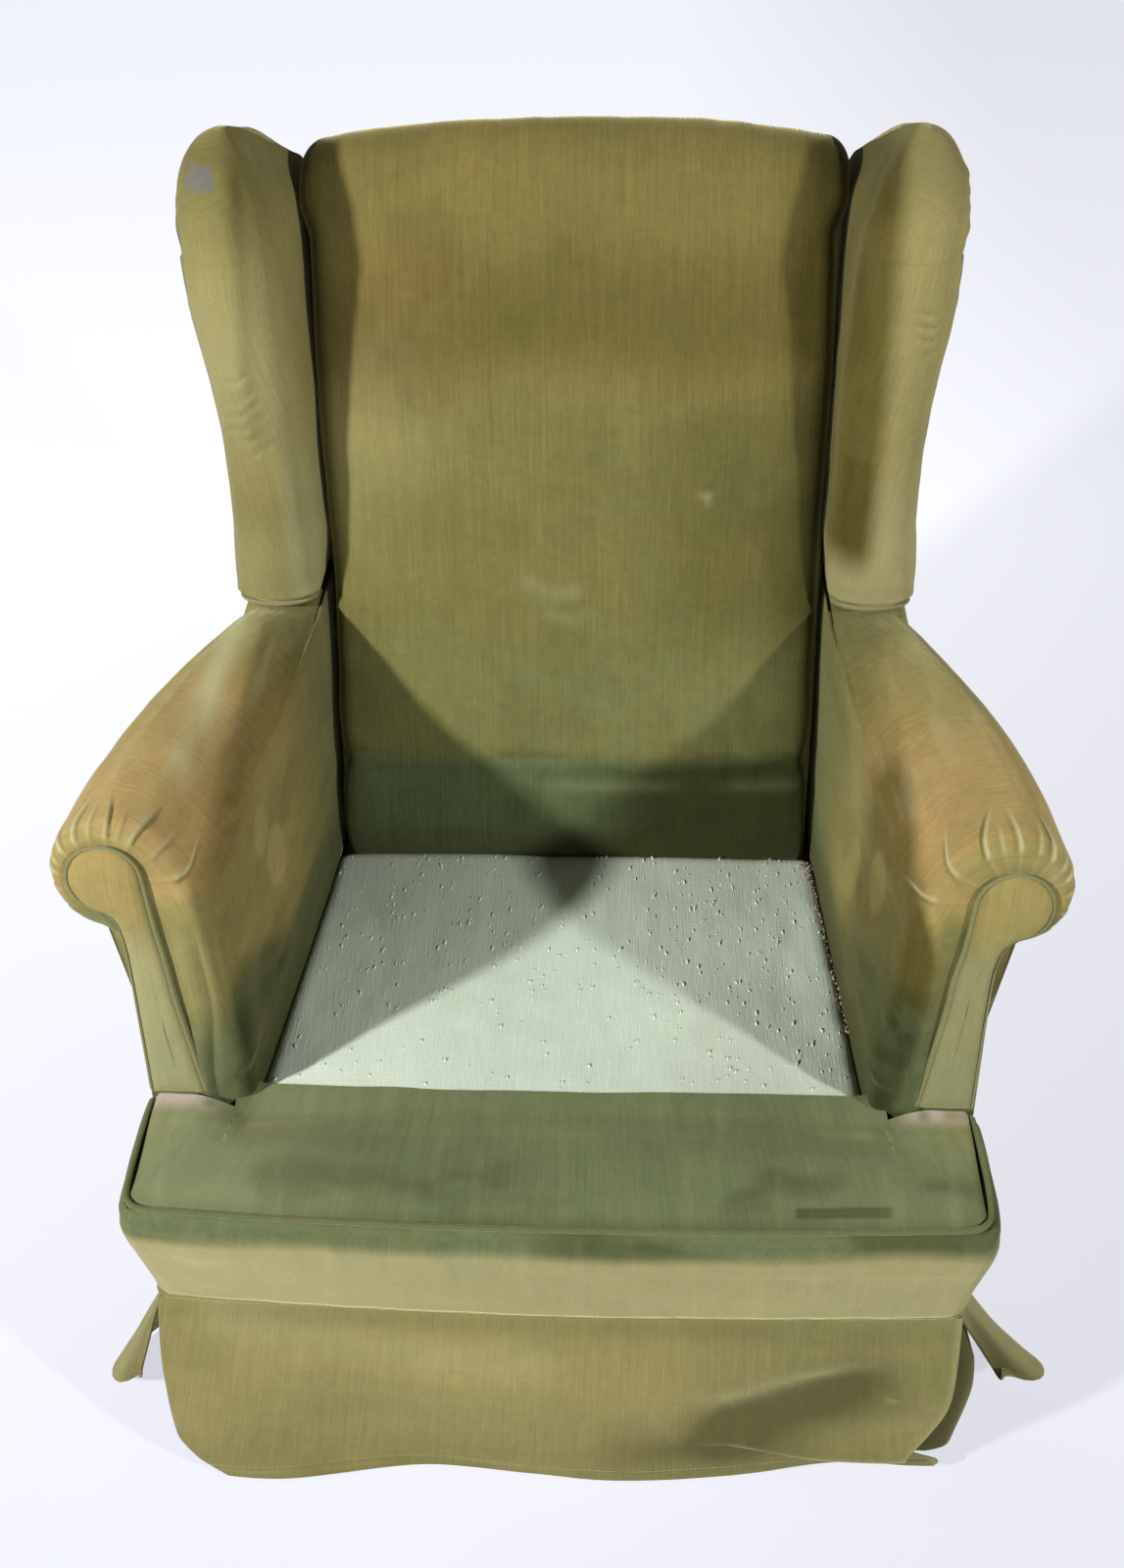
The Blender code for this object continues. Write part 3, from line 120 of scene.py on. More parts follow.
def along(table, at):
    """Smooth value of a table of (t, value) pairs, without overshooting them."""
    ts, vs = np.array(table, float).T
    at = np.clip(np.asarray(at, float), ts[0], ts[-1])
    step = np.diff(ts)
    slope = np.diff(vs) / step
    tangent = np.concatenate(([slope[0]], np.zeros(len(ts) - 2), [slope[-1]]))
    same = slope[:-1] * slope[1:] > 0
    w0, w1 = 2 * step[1:] + step[:-1], step[1:] + 2 * step[:-1]
    safe0, safe1 = np.where(same, slope[:-1], 1.0), np.where(same, slope[1:], 1.0)
    tangent[1:-1] = np.where(same, (w0 + w1) / (w0 / safe0 + w1 / safe1), 0.0)
    k = np.clip(np.searchsorted(ts, at, side="right") - 1, 0, len(ts) - 2)
    s = (at - ts[k]) / step[k]
    a, b = tangent[k] * step[k], tangent[k + 1] * step[k]
    rise = vs[k + 1] - vs[k]
    return vs[k] + s * (a + s * (3 * rise - 2 * a - b + s * (a + b - 2 * rise)))


def run(points):
    """Length along points, starting at 0."""
    steps = np.linalg.norm(np.diff(points, axis=0), axis=1)
    return np.concatenate(([0.0], np.cumsum(steps)))


def resample(points, count, rounded=True, closed=False):
    """Evenly spaced points on the curve or polyline through points."""
    points = np.array(points, float)
    if closed:
        points = np.vstack([points, points[:1]])
    if rounded:
        before = points[-2:-1] if closed else 2 * points[:1] - points[1:2]
        after = points[1:2] if closed else 2 * points[-1:] - points[-2:-1]
        p = np.vstack([before, points, after])
        p0, p1, p2, p3 = (p[i:len(p) - 3 + i, None] for i in range(4))
        s = np.linspace(0, 1, 12, endpoint=False)[None, :, None]
        fine = 0.5 * (2 * p1 + (p2 - p0) * s + (2 * p0 - 5 * p1 + 4 * p2 - p3) * s ** 2
                      + (3 * p1 - p0 - 3 * p2 + p3) * s ** 3)
        points = np.vstack([fine.reshape(-1, points.shape[1]), points[-1:]])
    length = run(points)
    at = np.linspace(0, length[-1], count, endpoint=not closed)
    return np.stack([np.interp(at, length, column) for column in points.T], axis=1)


def lattice(cells, seed):
    """A repeatable number from 0 to 1 for every whole-numbered cell."""
    cells = cells.astype(np.int64)
    mixed = cells[..., 0] * 374761393 + cells[..., 1] * 668265263 + cells[..., 2] * 2147483647
    mixed = (mixed + seed * 974634777) & 0xFFFFFFFF
    mixed = ((mixed ^ (mixed >> 13)) * 1274126177) & 0xFFFFFFFF
    mixed = ((mixed ^ (mixed >> 16)) * 2246822519) & 0xFFFFFFFF
    return (mixed ^ (mixed >> 15)) / 0xFFFFFFFF


def noise(points, scale, seed=0):
    """Smooth noise from -1 to 1; scale is features per metre, one number or one per axis."""
    place = np.asarray(points, float) * np.asarray(scale, float) + 17.31 * (seed + 1)
    base = np.floor(place)
    part = place - base
    part = part * part * part * (part * (part * 6 - 15) + 10)
    total = 0.0
    for corner in np.ndindex(2, 2, 2):
        corner = np.array(corner)
        weight = np.prod(np.where(corner == 1, part, 1 - part), axis=-1)
        total = total + weight * lattice(base + corner, seed)
    return 2 * total - 1


def fractal(points, scale, octaves, seed=0):
    scale = np.asarray(scale, float)
    return sum(noise(points, scale * 2 ** k, seed + k) / 2 ** k for k in range(octaves))


def distance_to(points, line):
    """How far points lie from a polyline, and how far along it, from 0 to 1, the nearest place is."""
    line = np.array(line, float)
    best = np.full(points.shape[:-1], np.inf)
    where = np.zeros(points.shape[:-1])
    length = run(line)
    for start, end, s0, s1 in zip(line[:-1], line[1:], length[:-1], length[1:]):
        span = end - start
        t = np.clip(((points - start) @ span) / (span @ span), 0, 1)
        gap = np.linalg.norm(points - (start + t[..., None] * span), axis=-1)
        closer = gap < best
        best = np.where(closer, gap, best)
        where = np.where(closer, (s0 + t * (s1 - s0)) / length[-1], where)
    return best, where


def crease(points, line, width, taper=0.25):
    """1 on the line, fading over width to the sides, and towards its ends."""
    gap, where = distance_to(points, line)
    ends = ramp(where, 0.0, taper) * ramp(where, 1.0, 1.0 - taper) if taper else 1.0
    return np.exp(-((gap / width) ** 2)) * ends


def spot(points, centre, reach):
    """1 in the middle of a soft patch; reach is one size, or one for each axis."""
    offset = (points - np.array(centre)) / np.array(reach)
    return np.exp(-np.sum(offset ** 2, axis=-1))


def normals_of(grid, around=False):
    """Unit normals of a grid of points; around says that its columns close into rings."""
    if around:
        across = np.roll(grid, -1, axis=1) - np.roll(grid, 1, axis=1)
    else:
        across = np.gradient(grid, axis=1)
    down = np.gradient(grid, axis=0)
    normal = np.cross(across, down)
    length = np.linalg.norm(normal, axis=-1, keepdims=True)
    return normal / np.maximum(length, 1e-12)


def lengths(grid, axis):
    """How far each point lies along its row or column."""
    steps = np.linalg.norm(np.diff(grid, axis=axis), axis=-1)
    first = np.zeros_like(np.take(steps, [0], axis=axis))
    return np.concatenate([first, np.cumsum(steps, axis=axis)], axis=axis)


def grid_of(*coordinates):
    """One grid of points from their coordinates, some of which may be the same for all."""
    return np.stack(np.broadcast_arrays(*coordinates), axis=-1)


def coordinates_of(grid):
    return np.moveaxis(grid, -1, 0)


def raised(line, by):
    """The same line, higher by so much."""
    return [(x, y, z + by) for x, y, z in line]


def patchy(points, scale, octaves, seed, start, end):
    """Ragged patches: 0 where the noise is at start, 1 where it is at end."""
    return ramp(fractal(points, scale, octaves, seed), start, end)


# ---------------------------------------------------------------- shared lines of the chair
def side_x(y):
    return mix(HALF_FRONT, HALF_REAR, (y - FRONT_Y) / (REAR_Y - FRONT_Y))


def post_y(z):
    return POST_Y + BACK_LEAN * np.maximum(z - POST_BEND, 0.0)


def arm_front_y(z):
    return ARM_PLANE_Y + ARM_PLANE_LEAN * (z - ARM_PLANE_Z)


def lip_rear_y(x):
    return LIP_REAR + 0.015 * np.minimum(np.abs(x) / 0.272, 1.0) ** 2


def arm_foot_x(y):
    return mix(0.2730, 0.2485, np.minimum((y + 0.2487) / 0.3687, 1.0))


def deck_top(x, y):
    t = np.clip((DECK_REAR - y) / (DECK_REAR - LIP_REAR), 0.0, 1.0)
    across = 1.0 - np.minimum(np.abs(x) / arm_foot_x(y), 1.0) ** 2
    across = np.where(across > 0, across, 0.0) ** 0.6
    middle = (DECK_CROWN - 0.008) * t ** 1.5 - DECK_HOLLOW * np.sin(math.pi * t)
    return DECK_LOW + DECK_RISE * t + 0.008 * t ** 1.5 + across * middle


def edge_rise(y):
    """The lip's edge climbs towards the arms on both sides of the seat."""
    return 0.019 * ramp(y, -0.330, -0.252)


def front_bow(x):
    return FRONT_BOW * (1.0 - np.minimum(np.abs(x) / HALF_FRONT, 1.0) ** 2)


# ---------------------------------------------------------------- meshes
def make_mesh(name, points, faces, material):
    mesh = bpy.data.meshes.new(name)
    mesh.from_pydata(np.asarray(points, float).tolist(), [], faces)
    mesh.materials.append(material)
    mesh.shade_smooth()
    mesh.update()
    obj = bpy.data.objects.new(name, mesh)
    bpy.context.collection.objects.link(obj)
    return obj


def paint(obj, name, values):
    """Lay values on the points of a mesh for its material to read."""
    values = np.ascontiguousarray(values, dtype=np.float32)
    vector = values.ndim == 2
    layer = obj.data.attributes.new(name, "FLOAT_VECTOR" if vector else "FLOAT", "POINT")
    layer.data.foreach_set("vector" if vector else "value", values.ravel())


def wear_and_shade(obj, cloth, fade, soil_and_shade=0.0, rub_and_highlight=0.0, lint=0.0):
    """Lay the place in the weave, how worn and dirty the cloth is, and its painted shading and painted
    highlight, on the points of a piece.
    """
    cloth = np.asarray(cloth, float)
    paint(obj, "cloth", np.pad(cloth.reshape(-1, 2), ((0, 0), (0, 1))))
    for name, values in (("fade", fade), ("soil_and_shade", soil_and_shade), ("rub_and_highlight", rub_and_highlight), ("lint", lint)):
        values = np.broadcast_to(values, cloth.shape[:-1])
        paint(obj, name, np.clip(values.reshape(-1), 0.0, 1.0))


def lens_wear_and_shade(obj, inner, cloth, *layers):
    """Worn places and painted shading for a lens: the points of its back take the values of its front."""
    def both(values):
        return np.concatenate([values.reshape(-1, *values.shape[2:]), values[inner]])

    wear_and_shade(obj, both(cloth), *(both(np.broadcast_to(values, inner.shape)) for values in layers))


def grid_faces(rows, columns, around=False):
    faces = []
    for r in range(rows - 1):
        for c in range(columns if around else columns - 1):
            a, b = r * columns + c, r * columns + (c + 1) % columns
            faces.append((a, b, b + columns, a + columns))
    return faces


def outward(obj):
    work = bmesh.new()
    work.from_mesh(obj.data)
    bmesh.ops.recalc_face_normals(work, faces=work.faces)
    work.to_mesh(obj.data)
    work.free()


def tube(name, rings, material):
    """A closed piece through closed rings, with a flat cap on each end."""
    rows, columns = rings.shape[:2]
    faces = grid_faces(rows, columns, around=True)
    faces.append(tuple(range(columns - 1, -1, -1)))
    faces.append(tuple(range((rows - 1) * columns, rows * columns)))
    obj = make_mesh(name, rings.reshape(-1, 3), faces, material)
    outward(obj)
    return obj


def lens(name, front, back, material):
    """A closed piece between two grids whose borders meet."""
    rows, columns = front.shape[:2]
    inner = np.zeros((rows, columns), bool)
    inner[1:-1, 1:-1] = True
    number = np.arange(rows * columns).reshape(rows, columns)
    other = number.copy()
    other[inner] = rows * columns + np.arange(inner.sum())
    points = np.vstack([front.reshape(-1, 3), back[inner]])
    faces = grid_faces(rows, columns)
    a, b = other[:-1, :-1], other[:-1, 1:]
    c, d = other[1:, 1:], other[1:, :-1]
    faces += np.stack([a, d, c, b], axis=-1).reshape(-1, 4).tolist()
    obj = make_mesh(name, points, faces, material)
    outward(obj)
    return obj, inner


BORDERS = (np.s_[0], np.s_[-1], np.s_[:, 0], np.s_[:, -1])


def edge_distance(grid):
    """How far each point lies from the nearest border of its grid."""
    down, across = lengths(grid, 0), lengths(grid, 1)
    return np.minimum(np.minimum(down, down[-1:] - down), np.minimum(across, across[:, -1:] - across))


def round_edge(distance, radius):
    """0 at the border, 1 from radius inwards, like the rim of a coin."""
    t = np.clip(distance / radius, 0.0, 1.0)
    return np.sqrt(np.maximum(1.0 - (1.0 - t) ** 2, 0.0))


def near_ends(count):
    """Parameters from 0 to 1 that crowd together at both ends."""
    fine = np.array([0.0, 0.02, 0.08, 0.2, 0.45])
    inside = np.linspace(0, 1, count - 2 * (len(fine) - 1))
    step = inside[1]
    return np.concatenate([fine * step, inside[1:-1], 1 - fine[::-1] * step])


def crowded(values, at, reach=0.0012):
    """Adds values close on both sides of a place where the shape steps."""
    extra = [at - reach, at - reach / 4, at, at + reach / 4, at + reach]
    return np.unique(np.concatenate([values, extra]))


def cloth_sheet(name, middle, thickness, material, fade, soil_and_shade=0.0, rub_and_highlight=0.0, weave=None):
    """A hung or stretched cloth: middle is its middle surface, with crowded rows at the borders."""
    half = thickness * 0.5 * round_edge(edge_distance(middle), 0.0016)
    out = normals_of(middle) * half[..., None]
    obj, inner = lens(name, middle + out, middle - out, material)
    if weave is None:
        weave = grid_of(lengths(middle, 1), lengths(middle, 0))
    lens_wear_and_shade(obj, inner, weave, fade, soil_and_shade, rub_and_highlight)
    return obj


def cord(name, points, radius, closed=False, fade=0.5, rub_and_highlight=0.0, seed=0):
    """Piping: a round cord under a bias strip, a little uneven along its length."""
    sides = 16
    count = max(int(run(np.array(points))[-1] / 0.0026), 24)
    path = resample(points, count, closed=closed)
    if closed:
        tangent = np.roll(path, -1, axis=0) - np.roll(path, 1, axis=0)
    else:
        tangent = np.gradient(path, axis=0)
    tangent /= np.linalg.norm(tangent, axis=1, keepdims=True)
    climbs = (np.abs(tangent[:, 2]) > 0.9).any()
    side = np.cross(tangent, [0.0, -1.0, 0.0] if climbs else [0.0, 0.0, 1.0])
    side /= np.linalg.norm(side, axis=1, keepdims=True)
    up = np.cross(side, tangent)
    turn = np.linspace(0, 2 * math.pi, sides, endpoint=False)
    along_it = np.linspace(0, 1, np.size(radius))
    size = np.interp(np.linspace(0, 1, count), along_it, np.atleast_1d(radius))
    size = size * (1 + 0.05 * noise(path, 55, seed) + 0.03 * noise(path, 190, seed + 3) - 0.04)
    ring = np.cos(turn)[None, :, None] * side[:, None] + np.sin(turn)[None, :, None] * up[:, None]
    rings = path[:, None] + ring * size[:, None, None]
    if closed:
        faces = grid_faces(count, sides, around=True)
        last = (count - 1) * sides
        faces += [(last + c, last + (c + 1) % sides, (c + 1) % sides, c) for c in range(sides)]
        obj = make_mesh(name, rings.reshape(-1, 3), faces, CORDING)
        outward(obj)
    else:
        rings[0] = mix(rings[0], path[0], 0.5)
        rings[-1] = mix(rings[-1], path[-1], 0.5)
        obj = tube(name, rings, CORDING)
    # a bias strip: its weave runs slantwise round the cord
    length, around = run(path)[:, None], size[:, None] * turn
    wear_and_shade(obj, grid_of(length * 0.7 + around * 0.7, length * 0.7 - around * 0.7), fade, rub_and_highlight=rub_and_highlight)
    return obj


def sided(name, side):
    return f"{name}_{'right' if side > 0 else 'left'}"


def dress(obj, slot, *nodes):
    """Let a piece stand for its solids, and let it ride on the chair; its slot is not used."""
    if nodes:
        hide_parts(*nodes)
    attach(obj, "root")
    return obj


# ---------------------------------------------------------------- materials
class Shader:
    """A material under construction; sockets and plain values can both be given as inputs."""

    def __init__(self, name, roughness, **sockets):
        self.material = bpy.data.materials.new(name)
        self.material.use_nodes = True
        self.tree = self.material.node_tree
        self.surface = self.tree.nodes["Principled BSDF"]
        self.surface.inputs["Roughness"].default_value = roughness
        for key, value in sockets.items():
            self.surface.inputs[key.replace("_", " ")].default_value = value

    def node(self, kind, inputs, output=0, **settings):
        made = self.tree.nodes.new(kind)
        for key, value in settings.items():
            setattr(made, key, value)
        for key, value in inputs.items():
            if isinstance(value, bpy.types.NodeSocket):
                self.tree.links.new(value, made.inputs[key])
            else:
                made.inputs[key].default_value = value
        return made.outputs[output]

    def layer(self, name, vector=False):
        return self.node("ShaderNodeAttribute", {}, 1 if vector else 2, attribute_name=name)

    def place(self):
        return self.node("ShaderNodeTexCoord", {}, "Object")

    def math(self, operation, a, b=0.0, c=0.0):
        return self.node("ShaderNodeMath", {0: a, 1: b, 2: c}, operation=operation)

    def product(self, *values):
        total = values[0]
        for value in values[1:]:
            total = self.math("MULTIPLY", total, value)
        return total

    def axis(self, vector, number):
        return self.node("ShaderNodeSeparateXYZ", {0: vector}, number)

    def noise(self, vector, scale, detail=2.0, roughness=0.5, distortion=0.0):
        """Noise from 0 to 1; scale is one number, or one for each axis."""
        if not isinstance(scale, (int, float)):
            vector = self.node("ShaderNodeVectorMath", {0: vector, 1: scale}, operation="MULTIPLY")
            scale = 1.0
        return self.node("ShaderNodeTexNoise", {"Vector": vector, "Scale": scale, "Detail": detail,
                                                "Roughness": roughness, "Distortion": distortion})

    def spread(self, value, low, high, start=0.0, end=1.0):
        """Maps low..high to start..end, and stops there."""
        return self.node("ShaderNodeMapRange", {0: value, 1: low, 2: high, 3: start, 4: end})

    def colours(self, value, stops):
        made = self.tree.nodes.new("ShaderNodeValToRGB")
        ramp_points = made.color_ramp.elements
        while len(ramp_points) < len(stops):
            ramp_points.new(0.5)
        for point, (place, colour) in zip(ramp_points, stops):
            point.position = place
            point.color = (*colour, 1.0)
        self.tree.links.new(value, made.inputs[0])
        return made.outputs[0]

    def blend(self, factor, a, b, kind="MIX"):
        a, b = ((*v, 1.0) if isinstance(v, tuple) else v for v in (a, b))
        return self.node("ShaderNodeMix", {0: factor, 6: a, 7: b}, 2, data_type="RGBA", blend_type=kind)

    def tinted(self, colour, value):
        """The colour times a value."""
        return self.node("ShaderNodeVectorMath", {0: colour, "Scale": value}, operation="SCALE")

    def finish(self, colour, height=None, depth=0.001, strength=1.0, roughness=None):
        self.tree.links.new(colour, self.surface.inputs["Base Color"])
        if height is not None:
            bump = self.node("ShaderNodeBump", {"Strength": strength, "Distance": depth, "Height": height})
            self.tree.links.new(bump, self.surface.inputs["Normal"])
        if roughness is not None:
            self.tree.links.new(roughness, self.surface.inputs["Roughness"])
        return self.material


SOIL_AND_SHADE_TINT, RUB_AND_HIGHLIGHT_COLOUR = (0.235, 0.235, 0.085), (0.44, 0.43, 0.25)
PINK_LINT, GREY_LINT = (0.46, 0.37, 0.33), (0.115, 0.120, 0.145)


def velour(name, stops, contrast=1.0):
    """Ribbed pile: slubs and ribs along the weave, nap lying this way and that, bleached and crushed,
    with painted shading and painted highlight taken from the values on the points.
    """
    make = Shader(name, 0.84, Sheen_Weight=0.6, Sheen_Roughness=0.38,
                  Sheen_Tint=(0.86, 0.80, 0.42, 1.0), Specular_IOR_Level=0.12)
    cloth, place = make.layer("cloth", vector=True), make.place()
    slubs = make.noise(cloth, (330, 9, 1), 3.0, 0.55)
    ribs = make.noise(cloth, (1150, 30, 1), 2.0, 0.5)
    weft = make.noise(cloth, (50, 620, 1), 1.0, 0.5)
    nap = make.noise(place, 15.0, 3.0, 0.5, 0.6)
    brushed = make.noise(place, 52.0, 3.0, 0.62, 1.4)
    pile = make.noise(place, 900.0, 2.0, 0.6)
    flecks = make.spread(make.noise(cloth, (560, 42, 1), 1.0, 0.5), 0.68, 0.80)
    fade = make.math("ADD", make.layer("fade"), make.spread(nap, 0.25, 0.75, -0.05, 0.05))
    fade = make.math("ADD", fade, make.spread(slubs, 0.25, 0.75, -0.012, 0.012))
    light = make.product(make.spread(slubs, 0.2, 0.8, 1 - 0.12 * contrast, 1 + 0.12 * contrast),
                         make.spread(ribs, 0.2, 0.8, 1 - 0.10 * contrast, 1 + 0.10 * contrast),
                         make.spread(weft, 0.2, 0.8, 0.975, 1.025),
                         make.spread(brushed, 0.25, 0.75, 0.90, 1.10),
                         make.spread(nap, 0.25, 0.75, 1.07, 0.93),
                         make.spread(pile, 0.3, 0.7, 0.95, 1.05),
                         make.math("MULTIPLY_ADD", flecks, -0.16, 1.0))
    colour = make.tinted(make.colours(fade, stops), light)
    # darkened towards this tint by crushed and dirty pile, and by painted shade and painted shadow
    soiled_and_shaded = make.blend(1.0, colour, SOIL_AND_SHADE_TINT, "MULTIPLY")
    colour = make.blend(make.product(make.layer("soil_and_shade"), 0.9), colour, soiled_and_shaded)
    # paled by worn pile, and by painted highlight
    colour = make.blend(make.product(make.layer("rub_and_highlight"), 0.75), colour, RUB_AND_HIGHLIGHT_COLOUR)
    high_up = make.spread(make.axis(place, 2), 0.5, 0.6)
    lint = make.blend(high_up, PINK_LINT, GREY_LINT)
    lint_cover = make.product(make.layer("lint"), make.spread(pile, 0.2, 0.6, 0.55, 1.0))
    colour = make.blend(lint_cover, colour, lint)
    height = make.math("MULTIPLY_ADD", slubs, 0.7, make.math("MULTIPLY_ADD", weft, 0.25, ribs))
    height = make.math("MULTIPLY_ADD", brushed, 0.8, height)
    return make.finish(colour, height, 0.0007, 0.6, make.spread(nap, 0.2, 0.8, 0.90, 0.78))


def platform_cloth():
    """Pale green cotton with a fine upright rib."""
    make = Shader("platform_cotton", 0.88, Sheen_Weight=0.12, Specular_IOR_Level=0.22)
    cloth, place = make.layer("cloth", vector=True), make.place()
    ribs = make.noise(cloth, (820, 40, 1), 2.0, 0.5)
    weft = make.noise(cloth, (60, 900, 1), 1.0, 0.5)
    slubs = make.noise(cloth, (240, 14, 1), 2.0, 0.5)
    stain = make.noise(place, 9.0, 3.0, 0.55, 0.5)
    colour = make.colours(make.layer("fade"), [(0.0, (0.470, 0.555, 0.465)), (1.0, (0.610, 0.700, 0.590))])
    light = make.product(make.spread(ribs, 0.2, 0.8, 0.93, 1.05), make.spread(slubs, 0.2, 0.8, 0.97, 1.03),
                         make.spread(stain, 0.2, 0.8, 0.96, 1.03))
    colour = make.tinted(colour, light)
    # darker where the points ask for it: dirt, and painted shade and painted shadow
    colour = make.blend(make.layer("soil_and_shade"), colour, (0.13, 0.12, 0.06))
    colour = make.blend(make.layer("rub_and_highlight"), colour, (0.72, 0.73, 0.70))
    height = make.math("MULTIPLY_ADD", slubs, 0.5, make.math("MULTIPLY_ADD", weft, 0.6, ribs))
    return make.finish(colour, height, 0.0007, 0.8)


def wood(name, stops, scale):
    make = Shader(name, 0.6, Specular_IOR_Level=0.3)
    place = make.place()
    grain = make.noise(place, scale, 5.0, 0.6, 0.7)
    pores = make.noise(place, tuple(6 * s for s in scale), 2.0, 0.6)
    colour = make.tinted(make.colours(grain, stops), make.spread(pores, 0.3, 0.7, 0.9, 1.06))
    return make.finish(colour, pores, 0.0004, 0.5)


def coarse_weave(name, low, high, threads):
    """Crossed threads, for webbing, hessian and the cloth under the seat."""
    make = Shader(name, 0.95, Specular_IOR_Level=0.15)
    place = make.place()
    warp = make.noise(place, (threads, threads * 0.08, threads * 0.08), 2.0, 0.6)
    weft = make.noise(place, (threads * 0.08, threads, threads), 2.0, 0.6)
    weave = make.math("ADD", make.product(warp, 0.5), make.product(weft, 0.5))
    return make.finish(make.colours(weave, [(0.35, low), (0.65, high)]), weave, 0.0008, 0.9)


def plain_fuzz(name, low, high, scale):
    make = Shader(name, 0.95, Sheen_Weight=0.4, Sheen_Roughness=0.6, Specular_IOR_Level=0.1)
    tone = make.noise(make.place(), scale, 2.0, 0.6)
    return make.finish(make.colours(tone, [(0.3, low), (0.7, high)]), tone, 0.0006, 0.8)


def studio_floor():
    """Bright paper; it glows a little, so that shadows on it stay as pale as on a lit table."""
    make = Shader("studio_floor", 0.9, Specular_IOR_Level=0.1, Emission_Strength=1.0)
    place = make.place()
    tone = make.noise(place, 2.2, 3.0, 0.5)
    aside, away = make.axis(place, 0), make.axis(place, 1)
    # its glow is dimmer towards the front, and dimmer to the right, where the chair's shadow is painted into
    # it
    glow = make.colours(make.spread(away, -3.0, -0.6),
                        [(0.0, (0.57, 0.575, 0.65)), (0.45, (0.67, 0.675, 0.74)), (1.0, (0.80, 0.81, 0.88))])
    glow = make.tinted(glow, make.spread(aside, 0.15, 1.0, 1.0, 0.84))
    make.tree.links.new(glow, make.surface.inputs["Emission Color"])
    near = make.colours(tone, [(0.3, (0.15, 0.155, 0.17)), (0.7, (0.18, 0.185, 0.20))])
    return make.finish(make.blend(make.spread(away, -2.6, -0.8), near, (0.40, 0.405, 0.42)))


VELOUR_STOPS = [(0.0, (0.030, 0.046, 0.020)), (0.25, (0.094, 0.118, 0.052)), (0.5, (0.132, 0.122, 0.038)),
                (0.75, (0.215, 0.177, 0.056)), (1.0, (0.380, 0.245, 0.090))]
PIPING_STOPS = [(0.0, (0.045, 0.065, 0.030)), (0.5, (0.125, 0.125, 0.048)), (1.0, (0.330, 0.290, 0.130))]
COVER = velour("worn_velour", VELOUR_STOPS)
CORDING = velour("piping_velour", PIPING_STOPS, 0.7)
PLATFORM = platform_cloth()
BEECH_STOPS = [(0.3, (0.36, 0.22, 0.11)), (0.55, (0.50, 0.33, 0.18)), (0.75, (0.60, 0.42, 0.25))]
BEECH = wood("beech_wood", BEECH_STOPS, (22, 22, 3))
WEBBING = coarse_weave("jute_webbing", (0.20, 0.14, 0.08), (0.38, 0.29, 0.18), 420)
HESSIAN = coarse_weave("hessian_weave", (0.26, 0.18, 0.10), (0.50, 0.38, 0.24), 520)
DUST_CLOTH = coarse_weave("black_lining", (0.012, 0.012, 0.012), (0.035, 0.034, 0.032), 1100)
LINT = plain_fuzz("pink_grey_lint", (0.30, 0.24, 0.22), (0.62, 0.54, 0.52), 420.0)
CRUMB = plain_fuzz("brown_crumbs", (0.10, 0.055, 0.02), (0.42, 0.30, 0.16), 300.0)
THREAD = plain_fuzz("hem_thread", (0.30, 0.28, 0.13), (0.44, 0.42, 0.22), 900.0)


def finish_solids():
    """The frame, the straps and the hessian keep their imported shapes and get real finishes."""
    finishes = {"strap": WEBBING, "hessian": HESSIAN, "leg": BEECH, "post": BEECH, "rail": BEECH,
                "block": BEECH, "stump": BEECH}
    for name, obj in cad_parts.items():
        finish = next((material for word, material in finishes.items() if word in name), None)
        for place in obj.material_slots if finish else ():
            place.material = finish


# ---------------------------------------------------------------- inside back
def back_sides():
    """Across the back: where each column lies, and how far it is drawn in round the sides."""
    round_x, round_in = 0.019, 0.022
    turn = np.linspace(0, math.pi / 2, 15)[1:]
    edge = BACK_HALF - round_x + round_x * np.sin(turn)
    inset = round_in * (1 - np.cos(turn))
    middle = np.linspace(-(BACK_HALF - round_x), BACK_HALF - round_x, 161)
    return (np.concatenate([-edge[::-1], middle, edge]),
            np.concatenate([inset[::-1], 0 * middle, inset]))


# where the cover is drawn in towards its tacked sides
BACK_PULLS = [[(-0.226, 0.18, 0.47), (-0.16, 0.15, 0.52)], [(0.228, 0.18, 0.46), (0.165, 0.15, 0.51)],
              [(-0.225, 0.16, 0.44), (-0.12, 0.14, 0.46)], [(0.225, 0.16, 0.435), (0.14, 0.14, 0.462)],
              [(-0.222, 0.30, 0.93), (-0.16, 0.26, 0.88)], [(0.222, 0.30, 0.93), (0.15, 0.27, 0.885)]]
# marks in its pile: how pale, how wide, and where
BACK_SCUFFS = [(0.30, 0.004, [(0.116, 0.21, 0.706), (0.126, 0.21, 0.703), (0.136, 0.20, 0.707)]),
               (0.26, 0.004, [(0.127, 0.21, 0.704), (0.129, 0.21, 0.690)]),
               (0.16, 0.009, [(-0.062, 0.19, 0.626), (-0.025, 0.19, 0.602), (0.02, 0.19, 0.606)]),
               (0.12, 0.006, [(-0.04, 0.19, 0.585), (0.0, 0.18, 0.578), (0.035, 0.18, 0.592)])]
BACK_DENT = [(-0.05, 0.19, 0.612), (-0.01, 0.19, 0.590), (0.03, 0.18, 0.598)]
OLD_CUSHION_Z = 0.438       # below this the lost cushion kept the cloth green


